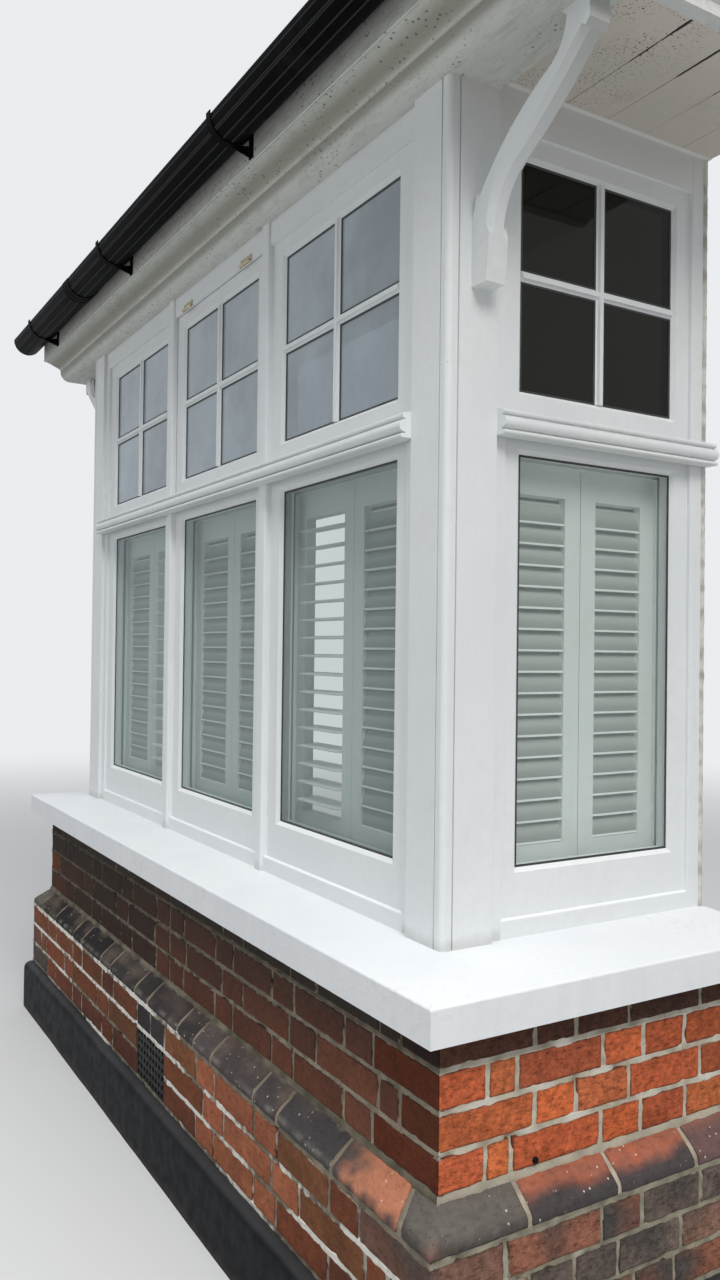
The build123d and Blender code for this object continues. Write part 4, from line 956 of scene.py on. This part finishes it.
# ---- glazing bars and gaskets
bars, gaskets_and_shade_lines = Mesh(), Mesh()
GLASS_FRONT, GLASS_SIDE = 231.7, 1172.0  # the panes' outer faces
HALF_BAR = 12.0
BAR = ((-HALF_BAR, 0.0), (-11.0, 2.6), (-7.6, 4.4), (-6.2, 7.6), (-5.0, 10.6), (5.0, 10.6), (6.2, 7.6), (7.6, 4.4),
       (11.0, 2.6), (HALF_BAR, 0.0))
GASKET = ((-1.0, 0.2), (-1.0, 2.0), (1.4, 2.6), (3.6, 1.8), (3.8, 0.2))
SEAM = ((0.1, 11.05), (0.1, 11.25), (1.3, 11.25), (1.3, 11.05))  # a dark line of painted shade where a sash meets its frame


def to_front(u, out, z):
    return (u, -GLASS_FRONT - out, z)


def to_right(u, out, z):
    return (GLASS_SIDE + out, u, z)


def to_left(u, out, z):
    return (-GLASS_SIDE - out, -u, z)


def bar(place, start, end):
    """A moulded glazing bar from start to end on the glass, both as (u, z)."""
    (u0, z0), (u1, z1) = start, end
    vertical = u0 == u1

    def moulding(t, section):
        v, out = section
        u, z = u0 + (u1 - u0) * t, z0 + (z1 - z0) * t
        out += 0.25 * wave(u, v, z, 40, 2)
        return (place(u + v, out, z) if vertical else place(u, out, z + v)), PLAIN, 0.0

    rows, _ = bars.sweep([i / 12 for i in range(13)], BAR, moulding, flip=vertical)
    bars.cap(rows[0], flip=vertical)
    bars.cap(rows[-1], flip=not vertical)


def bead(place, section, u0, u1, z0, z1):
    """A thin black line: a gasket round a pane, and painted shade round a sash."""
    rows = []
    for u, z in ((u0, z0), (u1, z0), (u1, z1), (u0, z1), (u0, z0)):
        su, sz = (1 if u == u0 else -1), (1 if z == z0 else -1)
        rows.append([place(u + su * w, out, z + sz * w) for w, out in section])
    gaskets_and_shade_lines.grid(rows)


TOP_LIGHT, LOWER_LIGHT = (2012.0, 2497.0), (1016.0, 1878.0)  # the panes' feet and heads
mid_z = sum(TOP_LIGHT) / 2
for place, panes in ((to_front, [(m - 273.0, m + 273.0) for m in (-712.0, 0.0, 712.0)]),
                     (to_right, [(-54.7, 393.3)]), (to_left, [(-393.3, 54.7)])):
    for u0, u1 in panes:
        mid = (u0 + u1) / 2
        bar(place, (mid, TOP_LIGHT[0]), (mid, TOP_LIGHT[1]))
        bar(place, (u0, mid_z), (mid - 4.6, mid_z))
        bar(place, (mid + 4.6, mid_z), (u1, mid_z))
        bead(place, GASKET, u0, u1, *LOWER_LIGHT)
        if place is to_front and mid == 0.0:
            bead(place, SEAM, u0 - 62.0, u1 + 62.0, 1962.0, 2547.0)
        for a, b in ((u0, mid - HALF_BAR), (mid + HALF_BAR, u1)):
            for c, d in ((TOP_LIGHT[0], mid_z - HALF_BAR), (mid_z + HALF_BAR, TOP_LIGHT[1])):
                bead(place, GASKET, a, b, c, d)
bars.piece("glazing_bars", upright, "white_paint", smooth=False)
sh = Shader("rubber_and_shade_line", 0.55)
sh.colour = sh.mix(sh.noise(90, 3), (0.012, 0.012, 0.013), (0.035, 0.035, 0.037))
gaskets_and_shade_lines.piece("glazing_gaskets_and_shade_line", sh.done(sh.noise(300), 0.0003), "gutter_black")

# ---- metalwork
sh = Shader("cast_iron", 0.6, Specular_IOR_Level=0.15)
sh.colour = sh.mix(sh.noise(150, 3), (0.006, 0.006, 0.007), (0.018, 0.018, 0.019))
sh.over(sh.rise(sh.noise(60, 5, 0.7), 0.58, 0.75, 0.6), (0.045, 0.028, 0.02))
dress(sh.done(sh.noise(260, 4, 0.7), 0.001, sh.span(sh.noise(45), 0.3, 0.7, 0.38, 0.66)), "air_brick")


def gutter_shader(name, body_tone=0.0045):
    """Black plastic with dust and dried drips. The plastic's own tone is set lighter on the ribs as a painted
    highlight.
    """
    sh = Shader(name, 0.5, Specular_IOR_Level=0.015)
    dust = sh.rise(sh.sum(sh.noise(5, 4, 0.6), (sh.noise(70, 3), 0.4)), 0.72, 1.0, 0.16)
    sh.colour = sh.mix(dust, (body_tone, body_tone, body_tone * 1.1), (0.06, 0.062, 0.06))
    sh.over(sh.rise(sh.streaks((55, 5, 5), 3), 0.64, 0.74, 0.06), (0.13, 0.13, 0.12))
    return sh.done(sh.noise(18, 2), 0.0002, sh.span(dust, 0.0, 0.3, 0.42, 0.6))


dress(gutter_shader("gutter_plastic"), "gutter", "gutter_brackets")
GUTTER_Y, GUTTER_Z, GUTTER_RADIUS = -436.0, 2765.0, 56.0
ribs = Mesh()  # moulded lines along the gutter, between its straps and its joint
for x0, x1 in ((-1617.0, -1357.0), (-1329.0, -834.0), (-766.0, -427.0), (-399.0, 503.0), (531.0, 1433.0),
               (1461.0, 1617.0)):
    for angle in (14.0, 36.0, 41.0, 66.0, 90.0):
        rows = []
        for v, lift in ((-1.9, -0.3), (-1.2, 1.3), (1.2, 1.3), (1.9, -0.3)):
            a, radius = math.radians(angle) + v / GUTTER_RADIUS, GUTTER_RADIUS + lift
            y, z = GUTTER_Y - radius * math.cos(a), GUTTER_Z - radius * math.sin(a)
            rows.append([(x0, y, z), (x1, y, z)])
        ribs.grid(rows)
# the ribs' plastic is ten times lighter than the gutter's: a painted highlight along each rib
ribs.piece("gutter_ribs", gutter_shader("gutter_rib_plastic_highlight", 0.045), "gutter_black", smooth=False)

sh = Shader("lead", 0.55, Metallic=0.35)
bloom, marks = sh.noise(7, 5, 0.65), sh.streaks((14, 60, 60))
sh.colour = sh.mix(sh.rise(bloom, 0.35, 0.7), (0.2, 0.205, 0.215), (0.42, 0.43, 0.43))
dress(sh.done(sh.sum(bloom, marks), 0.003, sh.span(bloom, 0.3, 0.7, 0.42, 0.7)), "flashing")

sh = Shader("brass", 0.34, Metallic=0.9)
tarnish = sh.noise(160, 4, 0.65)
sh.colour = sh.mix(sh.rise(tarnish, 0.4, 0.7), (0.62, 0.54, 0.36), (0.25, 0.2, 0.13))
brass = sh.done(sh.noise(500, 3), 0.0003, sh.span(tarnish, 0.4, 0.7, 0.26, 0.55))
dress(brass, "hinges")

sh = Shader("sawn_timber", 0.8)
rings = sh.streaks((30, 5, 30), 5, 0.65)
marks = sh.put("TexWave", {"Vector": sh.at, "Scale": 55.0, "Distortion": 3.0, "Detail": 2.0}, 1, bands_direction="Y")
sh.colour = sh.mix(sh.rise(rings, 0.3, 0.72), (0.5, 0.33, 0.18), (0.27, 0.165, 0.085))
dress(sh.done(sh.sum(rings, (marks, 0.3)), 0.0015), "rafters", "ledger")

# ---- tiled roof
PITCH = math.radians(32)
TILE, GAUGE, THICK = 265.0, 100.0, 10.0
EAVE_Y, EAVE_Z = -414.7, 2751.3
ROOF_HALF = 1608.0
IN_ROW = 19  # whole tiles
TAIL = 16.0  # how far up from the eaves the first tails lie
CLAY = ((0.27, 0.11, 0.07), (0.32, 0.13, 0.08), (0.215, 0.095, 0.066), (0.18, 0.088, 0.07), (0.24, 0.135, 0.095))
tiles, deck, bedding = Mesh(), Mesh(), Mesh()
slope = (HOUSE - EAVE_Y) / math.cos(PITCH)


def on_roof(x, up_slope, lift):
    """A point up_slope mm up from the eaves, lift mm above the roof's underside."""
    y = EAVE_Y + up_slope * math.cos(PITCH) - lift * math.sin(PITCH)
    z = EAVE_Z + up_slope * math.sin(PITCH) + lift * math.cos(PITCH)
    return (x, y, z)


def tile(x0, x1, tail, length, low, fall, tone):
    """One cambered clay tile, from its tail up the slope."""
    skew, tip = rng.uniform(-1.6, 1.6), rng.uniform(-0.9, 0.9)
    length = min(length, slope - tail - 2)
    lines = [0.0, 2.5, 0.18 * length, 0.45 * length, 0.75 * length, length]
    columns = [x0 + 1.2, x0 + 3.0] + [x0 + (x1 - x0) * k / 4 for k in range(1, 4)] + [x1 - 3.0, x1 - 1.2]

    def under(d, x, thick=0.0):
        share = (x - x0) / (x1 - x0)
        ragged = 0.8 * wave(x, d, tail, 20, 3) if d < 3 else 0.0
        at = min(tail + TAIL + d + skew * share + ragged, slope - 1.0)
        lift = low - fall * d / TILE - tip * share - 2.6 * (2 * share - 1) ** 2 + 0.5 * wave(x, at, 0, 45, 4)
        return on_roof(x, at, lift + thick), scaled(tone, 1.0 + 0.35 * wave(x, at, 0, 60, tail)), 0.0

    def top(d, x):
        return under(d, x, THICK - (1.3 if d == 0 or x in (columns[0], columns[-1]) else 0.0))

    upper, tones = tiles.sweep(lines, columns, top)
    lower, _ = tiles.sweep(lines, columns, under, flip=True)
    tiles.grid([lower[0], upper[0]], [tones[0]] * 2)
    tiles.grid([upper[-1], lower[-1]], [tones[-1]] * 2)
    tiles.grid([[r[0] for r in upper], [r[0] for r in lower]], [[t[0] for t in tones]] * 2)
    tiles.grid([[r[-1] for r in lower], [r[-1] for r in upper]], [[t[-1] for t in tones]] * 2)


pitch_x = 2 * ROOF_HALF / (IN_ROW + 0.5)
for row in range(-1, 10):
    start = -ROOF_HALF + (0.0 if row % 2 else pitch_x / 2)
    edges = [start + i * pitch_x for i in range(IN_ROW + 1)]
    edges = edges + [ROOF_HALF] if row % 2 else [-ROOF_HALF] + edges
    for a, b in zip(edges, edges[1:]):
        tone = blend(rng.choice(CLAY), (0.14, 0.12, 0.09), 0.25 * rng.random())
        if row < 0:  # the short tiles under the first row
            tile(a, b, 0.0, 165.0, 18.0, 10.0, tone)
        else:
            tile(a, b, row * GAUGE, TILE, 31.0, 24.0, tone)
deck.box((-ROOF_HALF + 2, ROOF_HALF - 2), (0, 1), (0, 1))
deck.points = [on_roof(x, 8.0 + y * (slope - 10), 0.2 + z * 5.0) for x, y, z in deck.points]
for sign in (-1, 1):
    rows = []
    for i in range(121):
        d = 22 + (slope - 30) * i / 120
        u = sign * (ROOF_HALF - 9.0 + 2.5 * wave(d, 0, sign, 22, 5))
        inner = sign * (ROOF_HALF - 40.0)
        section = ((inner, 3), (u, 3), (u - sign * 2, 14), (u - sign, 24), (inner, 26))
        rows.append([on_roof(x, d, lift) for x, lift in section])
    bedding.grid(rows, [[GREY] * 5] * 121, flip=sign > 0)
sh = Shader("clay_tile", 0.82)
sh.colour = sh.held("tone")
rough, sand = sh.noise(40, 5, 0.65), sh.noise(380, 3, 0.7)
sh.over(sh.rise(rough, 0.35, 0.7, 0.5), (0.35, 0.32, 0.3), "MULTIPLY")
lichen = sh.times(sh.rise(sh.noise(13, 5, 0.7), 0.6, 0.68), sh.span(sh.cells(40), 0.1, 0.5, 0.8, 0.2))
sh.over(lichen, (0.3, 0.31, 0.22))
moss = sh.times(sh.rise(sh.noise(5, 4, 0.6), 0.58, 0.72), sh.rise(sh.noise(70, 3), 0.45, 0.62, 0.8))
sh.over(moss, (0.055, 0.07, 0.025))
clay = sh.done(sh.sum(rough, (sand, 0.35)), 0.0016)
tiles.piece("roof_tiles", clay, "roof_tile", ("roof_slope",), tones=True, smooth=False)
sh = Shader("roof_boards", 0.82)
rings = sh.streaks((5, 40, 40), 5, 0.65)
seams = sh.fall(sh.math("PINGPONG", sh.times(sh.axis("Y"), 11.8), 0.5), 0.0, 0.02)
sh.colour = sh.mix(sh.rise(rings, 0.3, 0.72), (0.46, 0.31, 0.18), (0.25, 0.155, 0.085))
sh.over(seams, (0.03, 0.02, 0.015))
deck.piece("roof_deck", sh.done(sh.sum(rings, (seams, -2.0)), 0.0015), "roof_tile", smooth=False)
bedding.piece("verge_bedding", mortar_mat, "roof_tile", tones=True)

# ---- small things
filler = Mesh()  # rough filler where the jambs meet the house wall
FILLER_WIDE, FILLER_FOOT, FILLER_STEP, JAMB = 13.0, 876.0, 7.05, 1193.0
FILLER = ((0.0, 0.0), (0.5, 3.0), (3.0, 5.0), (7.0, 4.6), (10.5, 3.0), (FILLER_WIDE, 0.0))  # (towards the house, out)
for sign in (-1, 1):
    def filled(z, place):
        v, out = place
        if out:
            out = max(0.0, out + 1.8 * wave(z, v, sign, 26, 14) + 1.1 * wave(z, v, sign, 9, 15))
        spread = wave(z, 0, sign, 18, 16) if v < 5 else 0.0
        tone = blend((0.8, 0.79, 0.75), (0.34, 0.32, 0.28), 0.15 + 0.9 * wave(z, v, 0, 22, 17))
        return (sign * (JAMB + out), HOUSE - 0.5 - (FILLER_WIDE - v) - spread, z), tone, 0.0

    filler.sweep([FILLER_FOOT + i * FILLER_STEP for i in range(250)], FILLER, filled, flip=sign < 0)
filler.piece("wall_filler", mortar_mat, "white_paint", tones=True)

plug = Mesh()
PLUG_Y, PLUG_Z = -145.1, 506.0
PLUG = ((-1.0, 6.5), (3.5, 6.5), (4.9, 5.2), (5.5, 2.275), (4.1, 0.5))  # (out, radius)
plug.grid([[(SIDE + out, PLUG_Y + a, PLUG_Z + b) for a, b in ring_of(radius, 20)] for out, radius in PLUG])
plug.piece("wall_plug", bitumen, "bitumen")

screws = Mesh()
HINGE_X, HINGE_Y, HINGE_Z = 220.0, -254.1, 2553.5
SCREW = ((0.0, 3.0), (0.7, 2.9), (1.0, 2.2), (0.55, 0.9), (0.5, 0.05))  # (out, radius)
for x in (-HINGE_X, HINGE_X):
    for dx in (-24.0, 0.0, 24.0):
        for dz in (-7.0, 4.5):
            screws.grid([[(x + dx + a, HINGE_Y - out, HINGE_Z + dz + b) for a, b in ring_of(radius, 14)]
                         for out, radius in SCREW], flip=True)
screws.piece("hinge_screws", brass, "brass")

# ---- floor, lights
PALE, PALE_STRENGTH = (0.9, 0.92, 0.94, 1.0), 0.92  # the backdrop that rays see
FAR = 40.0
mesh = bpy.data.meshes.new("floor")
mesh.from_pydata([(x * FAR, y * FAR, 0.0) for x, y in ((-1, -1), (1, -1), (1, 1), (-1, 1))], [], [(0, 1, 2, 3)])
floor = in_scene("floor", mesh)
sh = Shader("floor_paint", 0.9)
seen = sh.seen()
sh.colour = sh.mix(seen, (0.46, 0.46, 0.45), (0.71, 0.71, 0.71))
floor.data.materials.append(sh.done())
far = sh.times(sh.rise(sh.put("VectorMath", {0: sh.at}, "Value", operation="LENGTH"), 3.5, 12.0), seen)
glow = sh.put("Emission", {"Color": PALE, "Strength": PALE_STRENGTH})
sh.links.new(sh.put("MixShader", {0: far, 1: sh.bsdf.outputs[0], 2: glow}),
             sh.nodes["Material Output"].inputs["Surface"])

world = bpy.data.worlds.new("studio")
bpy.context.scene.world = world
world.use_nodes = True
studio = Graph(world.node_tree)
dim = studio.nodes["Background"]
dim.inputs[0].default_value = (0.92, 0.96, 1.0, 1.0)
dim.inputs[1].default_value = 0.34
pale = studio.put("Background", {0: PALE, 1: PALE_STRENGTH})
studio.links.new(studio.put("MixShader", {0: studio.seen(), 1: dim.outputs[0], 2: pale}),
                 studio.nodes["World Output"].inputs[0])


def soft_box(name, place, aim, size, power, tint):
    light = bpy.data.lights.new(name, "AREA")
    light.shape = "DISK"
    light.size = size
    light.energy = power
    light.color = tint
    direction = Vector(place) - Vector(aim)
    turn = direction.to_track_quat("Z", "Y").to_matrix().to_4x4()
    in_scene(name, light).matrix_world = Matrix.Translation(place) @ turn


soft_box("key", (8.4, -2.2, 8.6), (0.6, -0.2, 1.4), 5.0, 540.0, (1.0, 0.975, 0.94))
soft_box("sky", (2.6, -1.6, 9.5), (1.2, -0.6, 0.0), 6.0, 525.0, (0.97, 0.99, 1.0))
soft_box("street", (-1.5, -9.0, 3.8), (0.0, -0.3, 1.8), 6.0, 82.0, (0.93, 0.975, 1.0))
